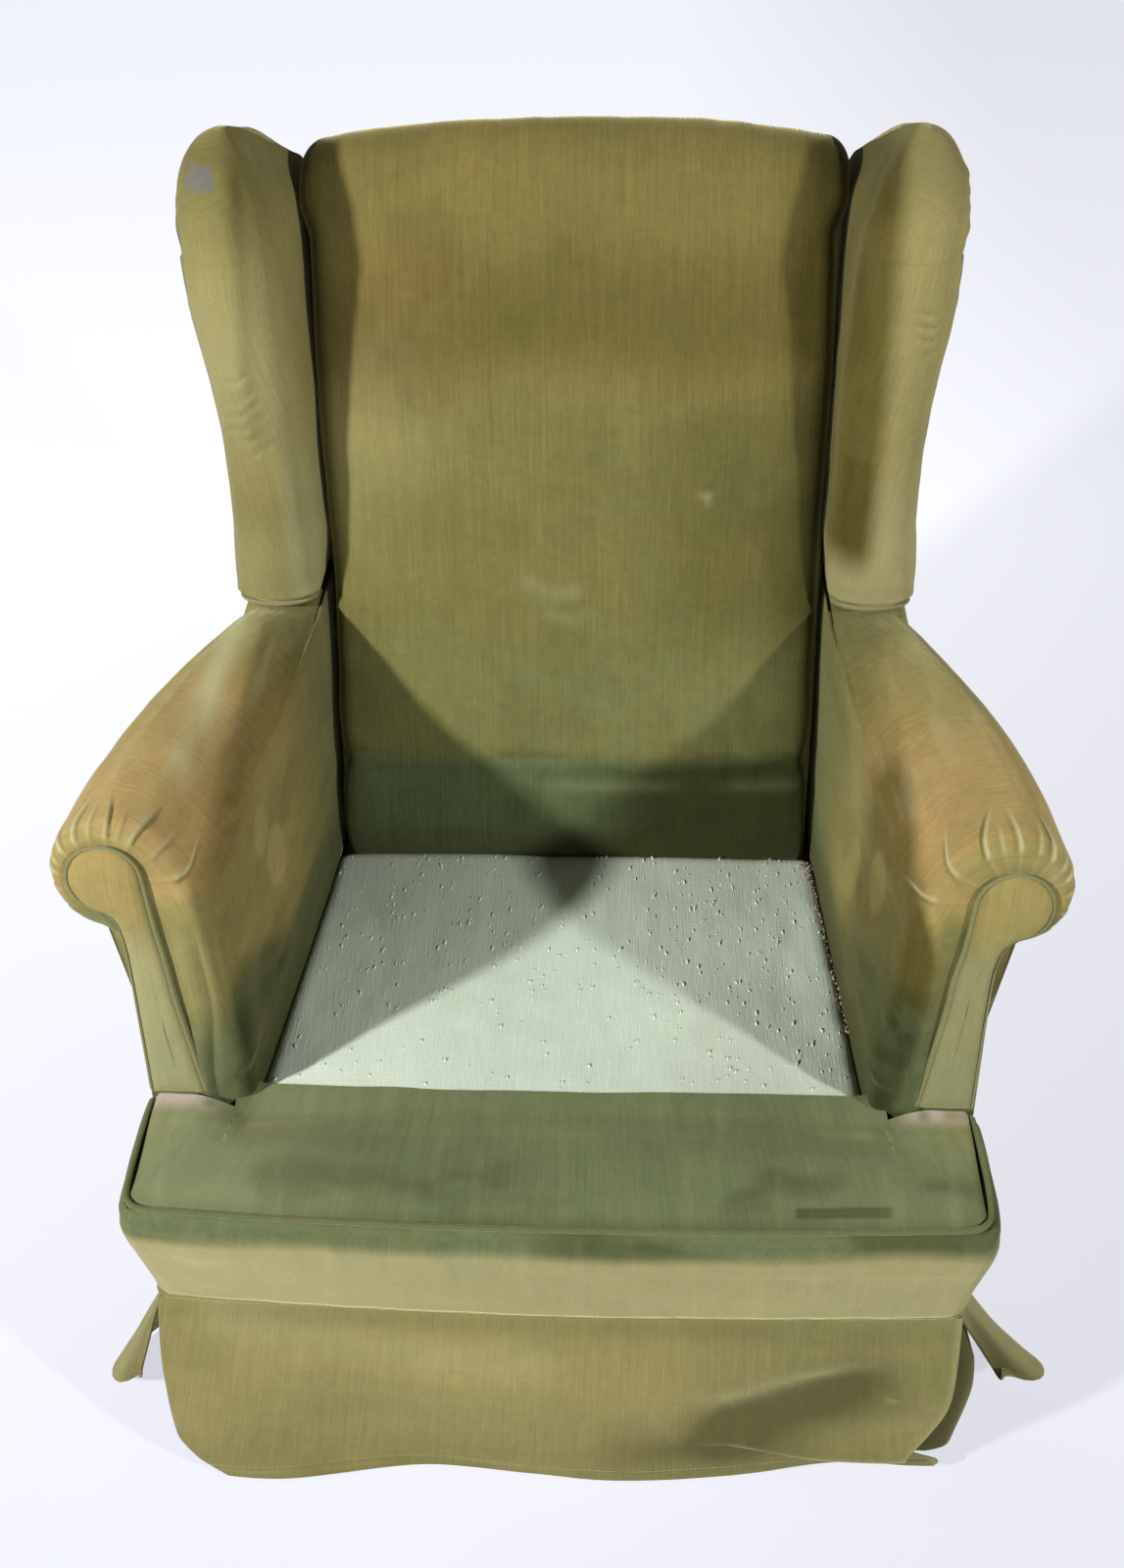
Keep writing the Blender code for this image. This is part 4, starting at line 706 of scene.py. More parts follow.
def back_form(xs, inset):
    """The grid of the inside back, from its foot up the face and over the top roll."""
    profile = resample([(y, z) for z, y in BACK_FACE] + BACK_ROLL_REAR, 226)
    turned = int(np.argmax(profile[:, 1]))
    number = np.arange(len(profile))
    y, z = profile.T
    upper = np.where(number <= turned, np.clip((z - ARCH_START) / ARCH_HEIGHT, 0, 1),
                     np.clip((z - OUTSIDE_TOP) / (profile[turned, 1] - OUTSIDE_TOP), 0, 1))
    slope = np.gradient(profile, axis=0)
    inward = np.stack([slope[:, 1], -slope[:, 0]], axis=1)
    inward /= np.linalg.norm(inward, axis=1, keepdims=True)
    x = xs[:, None] * (1 + 0.045 * ramp(z, 0.93, 0.975) * (number <= turned + 20))
    drop = BACK_ARCH * (x / BACK_HALF) ** 2
    tucked = ramp(z, 0.34, 0.47)
    setback = 0.010 * (x / BACK_HALF) ** 2 * (1 - 0.8 * upper) * (0.1 + 0.9 * tucked)
    inset = inset[:, None] * (0.35 + 0.65 * tucked)
    return grid_of(x, y + setback + inset * inward[:, 0], z - drop * upper + inset * inward[:, 1])


def back_relief(grid):
    """How far the padding and the cover stand out from that form."""
    x, _, z = coordinates_of(grid)
    across = x / BACK_HALF
    lift = 0.0022 * fractal(grid, 6.0, 3, 3) + 0.0006 * noise(grid, (60, 20, 16), 9)
    lift -= 0.0050 * spot(grid, (0.01, 0.20, 0.64), (0.13, 0.2, 0.11))
    lift += 0.0045 * bell(z, 0.485, 0.035) * (1 - 0.5 * across ** 2)
    lift -= 0.0050 * bell(z, 0.428, 0.016)
    lift -= 0.0020 * bell(z, 0.905, 0.02) * ramp(np.abs(across), 1.0, 0.86)
    for line in BACK_PULLS:
        lift -= 0.0016 * crease(grid, line, 0.007)
    return lift * ramp(z, 0.33, 0.37)


def make_inside_back():
    xs, inset = back_sides()
    grid = back_form(xs, inset)
    normal = normals_of(grid)
    normal *= np.sign(-normal[len(xs) // 2, 60, 1])
    grid = grid + normal * back_relief(grid)[..., None]

    back_y = post_y(OUTSIDE_TOP) + POST_DEPTH + 0.0004
    high = TOP_RAIL_MIDDLE - BACK_ARCH * (xs / BACK_HALF) ** 2 + 0.0004
    hidden = [grid_of(xs, back_y, OUTSIDE_TOP + 0.0006),
              grid_of(xs, post_y(high) + POST_DEPTH + 0.0004, high),
              grid_of(xs, post_y(high) - 0.003, high)]
    hidden += [grid_of(xs, post_y(level) - 0.003, level) for level in (0.60, 0.30)]
    rings = np.concatenate([grid, np.stack(hidden, axis=1)], axis=1)
    obj = tube("inside_back_cover", rings, COVER)

    x, _, z = coordinates_of(rings)
    across = x / BACK_HALF
    low = ramp(z + 0.004 * noise(rings, 18, 4), OLD_CUSHION_Z + 0.014, OLD_CUSHION_Z - 0.014)
    fade = 0.52 + 0.03 * fractal(rings, (9, 9, 5), 3, 21)
    fade = fade + 0.20 * ramp(z, 0.76, 0.83) - 0.09 * ramp(z, 0.62, 0.50)
    # paler left of the middle, here and further down: painted light on the side of the crowned back that
    # faces the stronger left lamp
    fade += 0.10 * ramp(x, -0.06, -0.20) * bell(z, 0.76, 0.10)
    fade += 0.12 * spot(rings, (-0.140, 0.26, 0.895), (0.060, 0.2, 0.028))
    fade = mix(fade, 0.18 + 0.03 * noise(rings, 20, 6), low)
    soil_and_shade = 0.74 * ramp(z + 0.035 * noise(rings, 6, 22), 0.762, 0.86) * (1 - 0.38 * ramp(z, 0.87, 0.95))
    # darker right of the middle: painted shade on the side of the crowned back that turns from the stronger
    # left lamp
    soil_and_shade = np.maximum(soil_and_shade, 0.42 * ramp(x, 0.03, 0.15) * ramp(z, 0.50, 0.60))
    soil_and_shade += 0.14 * patchy(rings, (14, 14, 8), 3, 31, 0.0, 0.8)
    # in the green foot, darker towards the right: a painted shadow where the shadows of both arms overlap
    soil_and_shade = mix(soil_and_shade, 0.14 + 0.90 * ramp(x, -0.02, 0.11), low)
    # darker at both sides, more so on the right, and at the foot by the seat: painted shade
    soil_and_shade += 0.28 * ramp(np.abs(across), 0.84, 1.0) + 0.34 * ramp(across, 0.70, 0.96)
    soil_and_shade += 0.30 * ramp(z, 0.37, 0.34)
    soil_and_shade += 0.30 * bell(z, 0.446, 0.005) * patchy(rings, (30, 1, 4), 1, 8, -0.4, 0.4)
    soil_and_shade += 0.20 * crease(rings, BACK_DENT, 0.006)
    rub_and_highlight = sum(pale * crease(rings, line, width) for pale, width, line in BACK_SCUFFS)
    rub_and_highlight += 0.10 * bell(z, 0.412, 0.006) * patchy(rings, (16, 1, 3), 1, 12, 0.0, 0.7)
    # paler left of the middle: painted light, as above
    rub_and_highlight += 0.12 * ramp(x, -0.08, -0.20) * bell(z, 0.76, 0.10)
    wear_and_shade(obj, grid_of(x, lengths(rings, 1)), fade, soil_and_shade, rub_and_highlight)
    dress(obj, "velour", "inside_back")


# ---------------------------------------------------------------- wings
def wing_outline(z):
    """Plan outline at a height, from the rear outer corner round the front edge to the rear inner one."""
    inner, outer, front = along(WING_INNER, z), along(WING_OUTER, z), along(WING_FRONT, z)
    covered = z < WING_SHELF
    rear = post_y(z) - 0.003 + (0.0 if covered else float(along(WING_TOP_REAR, z)))
    middle, half = (inner + outer) / 2, (outer - inner) / 2
    depth = min(half, (rear - front) * 0.45) * float(mix(0.55, 1.0, ramp(z, 0.600, 0.665)))
    seam = WING_POST_Y + CLOTH_GAP
    out = float(ramp(z, WING_SHELF, WING_SHELF + 0.040))
    if not covered:
        seam = min(mix(seam, front + depth, out), rear - 0.001)
    start = math.asin(min(max((front + depth - seam) / depth, 0.0), 0.95)) if depth > 0 else 0.0
    turn = np.linspace(start, math.pi, 96)
    arc = np.stack([middle + half * np.cos(turn), front + depth - depth * np.sin(turn)], axis=1)

    def line(a, b, count):
        return np.linspace(a, b, count, endpoint=False)

    if covered:
        wall = min(along(WING_POST_INNER, z) + WING_POST_THICK - 0.0004, outer)
        corner_x = min(POST_OUTER, wall)
        outside = line((corner_x, rear), (wall, seam), 24)
    else:
        # flush with the outside panel at the shelf, and rounded off behind further up
        flush = min(along(WING_POST_INNER, z) + WING_POST_THICK + PANEL_THICK, outer)
        wall, rear_wall = mix(arc[0, 0], outer, out), mix(flush, outer, out)
        rounding = float(ramp(z, WING_SHELF + 0.004, 0.988))
        reach_x = mix(0.002, 0.96 * half, rounding)
        reach_y = min(mix(0.002, 0.105, rounding), (rear - seam) * 0.9)
        corner_x = rear_wall - reach_x
        bend = np.linspace(math.pi / 2, 0.0, 14)
        rounded = grid_of(corner_x + reach_x * np.cos(bend), rear - reach_y + reach_y * np.sin(bend))
        outside = np.vstack([rounded, line(rounded[-1], (wall, seam), 11)[1:]])
    turned_in, inner_corner = (arc[0, 0], seam), (inner, rear)
    outline = np.vstack([outside, line((wall, seam), turned_in, 5), line(turned_in, arc[0], 10), arc[:-1],
                         line(arc[-1], inner_corner, 48), line(inner_corner, (corner_x, rear), 10)])
    height = np.full(len(outline), z)
    sunk = ramp(outline[:, 0], 0.300, 0.252) * ramp(outline[:, 1], 0.245, 0.345)
    height -= 0.022 * sunk * float(ramp(z, WING_SHELF, 0.995))
    return np.hstack([outline, height[:, None]])


# where the cover of each wing has rucked: lines on its front roll, and how deep they are
WING_WRINKLES = {
    -1: (0.0020, [((-0.308, 0.176, 0.834), (-0.293, 0.171, 0.838), (-0.281, 0.171, 0.848)),
                  ((-0.312, 0.177, 0.813), (-0.293, 0.170, 0.819), (-0.276, 0.170, 0.833)),
                  ((-0.314, 0.179, 0.800), (-0.293, 0.169, 0.806), (-0.273, 0.170, 0.822)),
                  ((-0.315, 0.178, 0.788), (-0.290, 0.168, 0.795), (-0.266, 0.171, 0.811)),
                  ((-0.315, 0.180, 0.775), (-0.286, 0.166, 0.784), (-0.258, 0.175, 0.798)),
                  ((-0.312, 0.176, 0.760), (-0.284, 0.165, 0.770), (-0.260, 0.173, 0.785))]),
    1: (0.0014, [((0.295, 0.178, 0.904), (0.308, 0.179, 0.898), (0.320, 0.186, 0.896)),
                 ((0.295, 0.176, 0.893), (0.307, 0.178, 0.887), (0.321, 0.185, 0.884)),
                 ((0.295, 0.176, 0.883), (0.307, 0.177, 0.876), (0.319, 0.184, 0.872)),
                 ((0.297, 0.176, 0.868), (0.307, 0.177, 0.862), (0.317, 0.183, 0.860))])}
# where each wing's cover is puckered by the tacks on its outer rim: heights, and how much
WING_TACKS = {-1: (0.0005, (0.935, 0.957, 0.978)), 1: (0.0020, (0.930, 0.945, 0.958, 0.972, 0.984, 0.996))}
LEFT_WING_RIDGE = [(-0.286, 0.24, 1.018), (-0.279, 0.199, 0.977), (-0.280, 0.181, 0.915),
                   (-0.283, 0.171, 0.847), (-0.280, 0.166, 0.76)]
LEFT_WING_SCRATCH = [(-0.306, 0.170, 0.712), (-0.305, 0.168, 0.679)]
LINT_X, LINT_Z = -0.311, 1.001          # a ragged, rubbed patch near the top of the left wing


def wing_rings():
    """The form of a wing from its foot to its closed top, for the right-hand side."""
    low = np.array([WING_BOTTOM, WING_BOTTOM + 0.0083, WING_BOTTOM + 0.0092])
    body = np.linspace(WING_BOTTOM + 0.0125, 0.9395, 146)
    crown = WING_SHELF + (WING_TOP - WING_SHELF) * np.sin(np.linspace(0.001, math.pi / 2, 52))
    rings = np.stack([wing_outline(float(z)) for z in np.concatenate([low, body, crown])])
    # a rebate for the piping at the foot
    centre = rings.mean(axis=1, keepdims=True)
    for row, pull in ((0, 0.0095), (1, 0.0095), (2, 0.0035)):
        plan = rings[row, :, :2] - centre[row, :, :2]
        size = np.linalg.norm(plan, axis=1, keepdims=True)
        rings[row, :, :2] -= plan / size * np.minimum(pull, size * 0.5)
    last = rings[-1]
    tip = last.mean(axis=0)
    caps = [mix(last, tip, s) + [0, 0, 0.0022 * math.sqrt(1 - (1 - s) ** 2)] for s in (0.2, 0.45, 0.75)]
    return np.concatenate([rings, np.stack(caps)])


def wing_relief(rings, side):
    x, y, z = coordinates_of(rings)
    mirrored = rings * [side, 1, 1]
    free = ramp(z, 0.612, 0.635) * ramp(z, 1.027, 1.0)
    free = free * np.where((y > WING_POST_Y) & (x > 0.285) & (z < WING_SHELF), 0.0, 1.0)
    lift = 0.0015 * fractal(mirrored, 11.0, 3, 40 + side)
    lift -= 0.0016 * bell(y, along(WING_FRONT, z) + 0.056, 0.020) * (x < 0.285) * ramp(z, 0.64, 0.76)
    lift += 0.0022 * bell(z, 0.655, 0.03)
    deep, wrinkles = WING_WRINKLES[side]
    for line in wrinkles:
        lift -= deep * crease(mirrored, line, 0.0026)
        lift += 0.6 * deep * crease(mirrored, raised(line, -0.0062), 0.0034)
    pucker, tacks = WING_TACKS[side]
    for height in tacks:
        rim = (float(along(WING_OUTER, height)), float(along(WING_FRONT, height)) + 0.026, height)
        lift += pucker * spot(rings, rim, (0.008, 0.016, 0.0052))
    return lift * free


def left_wing_wear_and_shade(rings, x, z, front):
    fade = 0.66 + 0.04 * fractal(rings, (12, 12, 6), 3, 49) - 0.10 * front * ramp(z, 0.75, 0.68)
    soil_and_shade = 0.22 * ramp(z, 0.92, 0.99) + 0.14 * patchy(rings, (26, 26, 8), 2, 60, 0.1, 0.8)
    # paler down the front roll and towards its foot: painted highlight
    rub_and_highlight = 0.26 * front * bell(z, 0.85, 0.10) + 0.30 * ramp(x, 0.276, 0.258) * ramp(z, 0.82, 0.72)
    rub_and_highlight += 0.16 * front * ramp(z, 0.72, 0.66)
    ragged = 0.0022 * noise(rings, (150, 150, 150), 58)
    lint = ramp(np.abs(rings[..., 0] - LINT_X) + ragged, 0.0165, 0.0090) * (rings[..., 1] < 0.26)
    lint = 0.80 * lint * ramp(np.abs(z - LINT_Z) + ragged, 0.0120, 0.0050)
    lint = lint * mix(0.45, 1.0, patchy(rings, (40, 40, 300), 1, 57, -0.9, 0.5))
    # a darker band where the front roll turns into the inner face: painted shade
    soil_and_shade += 0.55 * crease(rings, LEFT_WING_RIDGE, 0.0080, 0.12)
    rub_and_highlight += 0.22 * crease(rings, LEFT_WING_SCRATCH, 0.0013)
    return fade, soil_and_shade, rub_and_highlight, lint


def right_wing_wear_and_shade(rings, x, z):
    fade = 0.68 - 0.07 * ramp(z, 0.76, 0.70) + 0.04 * fractal(rings, (12, 12, 6), 3, 51)
    # the inner face is painted darker than the front roll: painted shade
    dark = ramp(x, 0.292, 0.268) * ramp(z, 0.63, 0.68)
    soil_and_shade = 0.88 * dark + 0.14 * patchy(rings, (26, 26, 8), 2, 60, 0.1, 0.8)
    soil_and_shade += 0.35 * ramp(z, 0.95, 1.01)
    fade += 0.07 * dark
    # paler outside the shaded inner face, most towards the foot: painted highlight
    rub_and_highlight = (1 - dark) * (0.14 + 0.24 * ramp(z, 0.78, 0.68))
    band = bell(x, 0.262, 0.012) * ramp(z, 0.62, 0.66) * ramp(z, 0.84, 0.76)
    soil_and_shade += 0.20 * band * patchy(rings, (40, 40, 22), 1, 66, -0.5, 0.3)
    return fade, soil_and_shade, rub_and_highlight, 0.0


def make_inside_wing(side):
    rings = wing_rings()
    normal = normals_of(rings, around=True)
    middle = rings.mean(axis=1, keepdims=True)
    if np.mean(np.sum(normal * (rings - middle), axis=-1)) < 0:
        normal = -normal
    rings = (rings + normal * wing_relief(rings, side)[..., None]) * [side, 1, 1]
    obj = tube(sided("inside_wing_cover", side), rings, COVER)

    x, y, z = coordinates_of(rings * [side, 1, 1])
    front = 1 - ramp(y, along(WING_FRONT, z) + 0.012, along(WING_FRONT, z) + 0.046)
    if side > 0:
        fade, soil_and_shade, rub_and_highlight, lint = right_wing_wear_and_shade(rings, x, z)
    else:
        fade, soil_and_shade, rub_and_highlight, lint = left_wing_wear_and_shade(rings, x, z, front)
    deep, wrinkles = WING_WRINKLES[side]
    for line in wrinkles:
        # painted shade in each wrinkle, and a painted highlight on the ridge just below it
        soil_and_shade += 300 * deep * crease(rings, line, 0.0013)
        rub_and_highlight += 110 * deep * crease(rings, raised(line, -0.0045), 0.0022)
    wear_and_shade(obj, grid_of(lengths(rings, 1), z), fade, soil_and_shade, rub_and_highlight, lint)
    dress(obj, "velour", sided("inside_wing", side))


def make_wing_piping(side):
    """In the rebate at the foot of the wing, from the outside panel round to the back."""
    z = WING_BOTTOM + 0.0007 + FINE_PIPING_RADIUS
    inner, outer = float(along(WING_INNER, 0.6)) + 0.0053, float(along(WING_OUTER, 0.6)) - 0.0053
    front, rear = float(along(WING_FRONT, 0.6)) + 0.0053, float(post_y(0.6)) - 0.003
    middle, half = (inner + outer) / 2, (outer - inner) / 2
    depth = 0.55 * half
    points = [(side * (middle + half * math.cos(turn)), front + depth * (1 - math.sin(turn)), z)
              for turn in np.linspace(0, math.pi, 15)]
    points.append((side * inner, mix(front + half, rear, 0.6), z))
    radius = (0.0021, 0.0022, 0.0034, 0.0036, 0.0030) if side > 0 else (0.0022, 0.0024)
    fade = 0.55 + 0.15 * noise(resample(points, 60), 40, 7).mean()
    obj = cord(sided("wing_cord", side), points, radius, fade=fade, rub_and_highlight=0.10, seed=71)
    dress(obj, "piping", sided("wing_piping", side))


# ---------------------------------------------------------------- arms
def panel_inner_x(y, z):
    """Inner surface of the outside arm: on the side rail below, clear of the stump above."""
    forward = np.clip(-np.asarray(y) / 0.14, 0.0, 1.0)
    upward = np.clip((np.asarray(z) - RAIL_TOP) / (ARM_RAIL_BOTTOM - RAIL_TOP), 0.0, 1.0)
    return side_x(np.minimum(y, REAR_Y)) + CLOTH_GAP + 0.013 * forward * upward


def arm_station_y(t, z):
    return mix(arm_front_y(z), post_y(np.maximum(z, POST_BEND)) - 0.003, t)


def arm_under_z(t):
    return mix(0.5195, 0.5605, min(t / WING_FOOT_T, 1.0))


def arm_section(t, inset, hollow):
    """Cross-section of an arm at t, from its inner foot over the roll, and its hidden outer side."""
    s = min(t / WING_FOOT_T, 1.0)
    swell = s ** ARM_SWELL
    roll_x, roll_z = mix(ROLL_X, 0.304, swell), mix(ROLL_Z, ARM_TOP_REAR - 0.023, s)
    radius = mix(ROLL_RADIUS, 0.0225, swell) - inset
    bottom = mix(ARM_BOTTOM_FRONT, ARM_BOTTOM_REAR, min(4 * t, 1.0))
    low = float(arm_foot_x(arm_station_y(t, bottom))) + inset
    high, shoulder = mix(0.2890, 0.2470, s) + inset, mix(0.520, 0.580, s)
    face = [(low, bottom), (mix(low, high, 0.5), mix(bottom, shoulder, 0.55)), (high, shoulder)]
    top = roll_z + radius
    roll = [(mix(roll_x, high, math.cos(a)), mix(shoulder, top, math.sin(a)))
            for a in np.radians((22.5, 45, 67.5))]
    end = math.radians(mix(-78.0, -10.0, s))
    roll += [(roll_x + radius * math.cos(a), roll_z + radius * math.sin(a))
             for a in np.linspace(math.pi / 2, end, 12)]
    whole = resample(face + roll, 1200)
    density = np.interp(whole[:, 1], [shoulder - 0.03, shoulder + 0.01], [1.0, 2.3])
    shown = resample_by(whole, density, ARM_SHOWN)

    y = arm_station_y(t, ROLL_Z)
    panel = float(panel_inner_x(y, ARM_RAIL_BOTTOM))
    outer, under = panel + PANEL_THICK + 0.0005, arm_under_z(t) + inset * 0.5
    tuck = resample([shown[-1], (outer, under)], 9, rounded=False)[1:]
    if not hollow:
        wall = [(outer, z) for z in np.linspace(under, bottom, 9)]
        return np.vstack([shown, tuck, wall[1:], [(outer, bottom)]])
    front = arm_front_y(ARM_RAIL_BOTTOM) + ARM_FRONT_SKIN
    where = min((arm_station_y(t, ARM_RAIL_BOTTOM) - front) / (post_y(ARM_RAIL_BOTTOM) - front), 1.0)
    rail_in, rail_out = mix(0.325, 0.2745, where) - CLOTH_GAP, mix(0.385, POST_OUTER, where) + CLOTH_GAP
    rail_out = min(rail_out, roll_x + radius * 0.7)
    slot_low, slot_high = mix(0.3104, 0.2738, t), mix(0.3195, 0.2738, t)
    z0, z1, panel = ARM_RAIL_BOTTOM - 0.0003, ARM_RAIL_TOP + 0.0003, panel - 0.0002
    hidden = [(panel, under), (panel, z0), (rail_out, z0), (rail_out, z1), (rail_in, z1), (rail_in, z0),
              (slot_high, z0), (slot_low, RAIL_TOP + 0.03), (slot_low, bottom)]
    return np.vstack([shown, tuck, hidden])


def resample_by(points, density, count):
    """Points on a line, closer together where the density is higher."""
    length = run(points)
    weight = np.concatenate(([0.0], np.cumsum(np.diff(length) * (density[1:] + density[:-1]) / 2)))
    at = np.interp(np.linspace(0, weight[-1], count), weight, length)
    return np.stack([np.interp(at, length, column) for column in points.T], axis=1)


# where each scroll's cover is gathered: degrees round its centre, depth, and how far its fold bends
GATHERS = {1: [(182, 0.8, 10), (156, 1.0, -8), (123, 1.2, -14), (107, 0.5, 0), (91, 1.0, 6), (72, 0.6, -5),
               (57, 1.1, 8), (40, 0.6, 6), (27, 1.0, 10), (8, 0.7, 6), (-16, 0.8, -6), (-42, 0.6, 0)],
           -1: [(179, 1.0, -6), (152, 0.6, 8), (126, 1.2, 14), (111, 0.5, 0), (98, 1.1, -8), (78, 0.6, 6),
                (60, 1.2, 10), (39, 1.0, -12), (22, 0.6, 6), (9, 1.1, 8), (-14, 0.7, 6), (-40, 0.6, 0)]}


def gathered(side, angle, reach, depth):
    """How far the gathers lift the cover of the scroll, and where their folds and tucks lie."""
    lift, fold, tuck = 0.0, 0.0, 0.0
    fade_out = ramp(depth, 0.062, 0.020) * ramp(depth, -0.001, 0.003)
    for degrees, deep, bend in GATHERS[side]:
        centre = np.radians(degrees + bend * (depth / 0.05) ** 1.3)
        across = (angle - centre + math.pi) % (2 * math.pi) - math.pi
        across = across * reach
        near = np.abs(across) < 0.03
        tall = deep * fade_out * near * ramp(depth, 0.075 * deep, 0.012)
        width = np.where(across < 0, 0.0056, 0.0015)
        lift = lift + 0.0013 * tall * np.exp(-((across / width) ** 2))
        lift = lift - 0.0010 * tall * np.exp(-(((across - 0.0024) / 0.0018) ** 2))
        fold = fold + tall * np.exp(-(((across + 0.0006) / 0.0012) ** 2))
        tuck = tuck + tall * np.exp(-(((across - 0.0026) / 0.0014) ** 2))
    return lift, fold, tuck


# a few long, shallow pulls across the inner side of each arm
ARM_PULLS = [((0.287, -0.205, 0.50), (0.272, -0.15, 0.44), (0.266, -0.10, 0.41)),
             ((0.260, 0.06, 0.57), (0.262, 0.02, 0.53), (0.263, -0.02, 0.50)),
             ((0.272, -0.19, 0.43), (0.268, -0.12, 0.39), (0.262, -0.06, 0.375))]
# each arm's own wear and painted shade: what its colour loses behind and inside, how far its green foot
# climbs in front, its painted shade inside, and the paler strip beside the facing, where the lamps fall:
# its tone, height, clearing of painted shade, and rub
ARM_WEAR_AND_SHADE = {-1: SimpleNamespace(loss_behind=0.02, loss_inside=0.11, foot_climb=0.078, reach_forward=0.0,
                                shade_inside=0.70, shade_forward=0.0, strip_fade=0.58, strip_z=0.47,
                                strip_clear=0.95, strip_rub=0.08, ridge_rub=0.85),
            1: SimpleNamespace(loss_behind=0.10, loss_inside=0.15, foot_climb=0.100, reach_forward=0.019,
                               shade_inside=0.22, shade_forward=0.90, strip_fade=0.44, strip_z=0.50,
                               strip_clear=0.75, strip_rub=0.0, ridge_rub=0.34)}
# places on the inner side where the pile is brushed the other way and looks lighter
ARM_BRUSHED = {-1: [(0.55, (0.266, -0.045, 0.470), (0.03, 0.024, 0.031)),
                    (0.30, (0.268, -0.070, 0.520), (0.03, 0.020, 0.026))],
               1: [(0.40, (0.264, -0.034, 0.452), (0.03, 0.020, 0.038)),
                   (0.35, (0.272, -0.110, 0.505), (0.03, 0.024, 0.030))]}
LEFT_ARM_OVAL = [(0.268, -0.070, 0.497), (0.262, -0.045, 0.50), (0.262, -0.018, 0.475),
                 (0.263, -0.018, 0.447), (0.266, -0.045, 0.438), (0.270, -0.072, 0.460),
                 (0.268, -0.070, 0.497)]
RIGHT_ARM_STREAK = [(0.262, 0.012, 0.50), (0.264, -0.005, 0.455), (0.262, -0.004, 0.42)]
RIGHT_SEAM_X = [(0.366, 0.311), (0.415, 0.319), (0.465, 0.3265), (0.50, 0.330)]


def quarter_round(depth, radius):
    """How far a rounded edge still falls short at a depth behind its front: 1 at the front, 0 past it."""
    return 1 - math.sqrt(max(1 - (1 - min(depth / radius, 1.0)) ** 2, 0.0))


def arm_form(side):
    """The rings of an arm for the right-hand side, its depths behind the front, and its length."""
    length = float(arm_station_y(1.0, 0.53) - arm_front_y(0.53))
    turn = np.linspace(0, math.pi / 2, 15)
    depths = np.concatenate([0.018 * (1 - np.cos(turn)), np.arange(0.0194, 0.070, 0.0015),
                             np.linspace(0.0712, length, 104)])
    depths = np.sort(np.concatenate([depths, [ARM_FRONT_SKIN - 0.0004, ARM_FRONT_SKIN - 0.0003]]))
    rings = []
    for depth in depths:
        t = depth / length
        section = arm_section(t, 0.012 * quarter_round(depth, 0.018), depth > ARM_FRONT_SKIN - 0.00035)
        y = arm_station_y(t, section[:, 1])
        # towards its foot the front edge of the inner side is rounded off more broadly
        inner_side = (np.arange(len(section)) < 150) * ramp(section[:, 1], 0.47, 0.37)
        section[:, 0] += 0.014 * quarter_round(depth, 0.030) * inner_side
        rings.append(grid_of(section[:, 0], y, section[:, 1]))
    rings = np.stack(rings)
    # the front, drawn in to the middle line of its facing, with a soft ridge beside the facing
    head = FACING_Z[side]
    spine = resample([(0.333, 0.378), (0.341, 0.465), (0.3475, head - 0.05), (ROLL_X, head)], 60)
    first = rings[0]
    nearest = np.argmin(np.linalg.norm(first[:, None, [0, 2]] - spine[None], axis=-1), axis=1)
    fronts = []
    for s in (1.0, 0.8, 0.62, 0.5, 0.42, 0.35, 0.28, 0.21, 0.15, 0.10, 0.06, 0.03):
        flat = mix(first[:, [0, 2]], spine[nearest], s * 0.995)
        soft = 0.0052 * np.sin(math.pi * min(s / 0.52, 1.0)) * ramp(first[:, 2], 0.555, 0.50)
        soft = soft * (first[:, 0] < 0.33)
        fronts.append(grid_of(flat[:, 0], arm_front_y(flat[:, 1]) - soft, flat[:, 1]))
    depth = np.concatenate([np.zeros(len(fronts)), depths])[:, None]
    return np.concatenate([np.stack(fronts), rings]), depth, length


def arm_relief(body, depth, t, side):
    """How far padding, pulls and gathers move the seen cover, and where its folds and tucks lie."""
    x, _, z = coordinates_of(body)
    angle = np.arctan2(z - mix(FACING_Z[side], ROLL_Z, 0.5), x - ROLL_X)
    reach = np.maximum(np.hypot(z - ROLL_Z, x - ROLL_X), 0.03)
    scroll = ramp(z, ROLL_Z - 0.055, ROLL_Z - 0.02)
    lift, fold, tuck = (part * scroll for part in gathered(side, angle, reach, depth))
    free = ramp(depth, -0.0005, 0.001) * ramp(t, 0.80, 0.74)
    free = np.maximum(free, ramp(t, 0.9, 0.7) * ramp(z, 0.585, 0.56) * ramp(depth, 0, 0.02))
    broad = 0.0018 * fractal(body * [side, 1, 1], 9.0, 3, 80 + side)
    broad -= 0.0035 * spot(body, (0.33, -0.03, 0.62), (0.05, 0.07, 0.03))
    broad -= 0.0040 * spot(body, (0.265, -0.04, 0.47), (0.03, 0.055, 0.05))
    broad += 0.0060 * spot(body, (0.281, -0.212, 0.385), (0.03, 0.034, 0.030))
    for line in ARM_PULLS:
        broad -= 0.0014 * crease(body, line, 0.008)
    return (lift + broad * ramp(z, 0.366, 0.385)) * free, fold, tuck


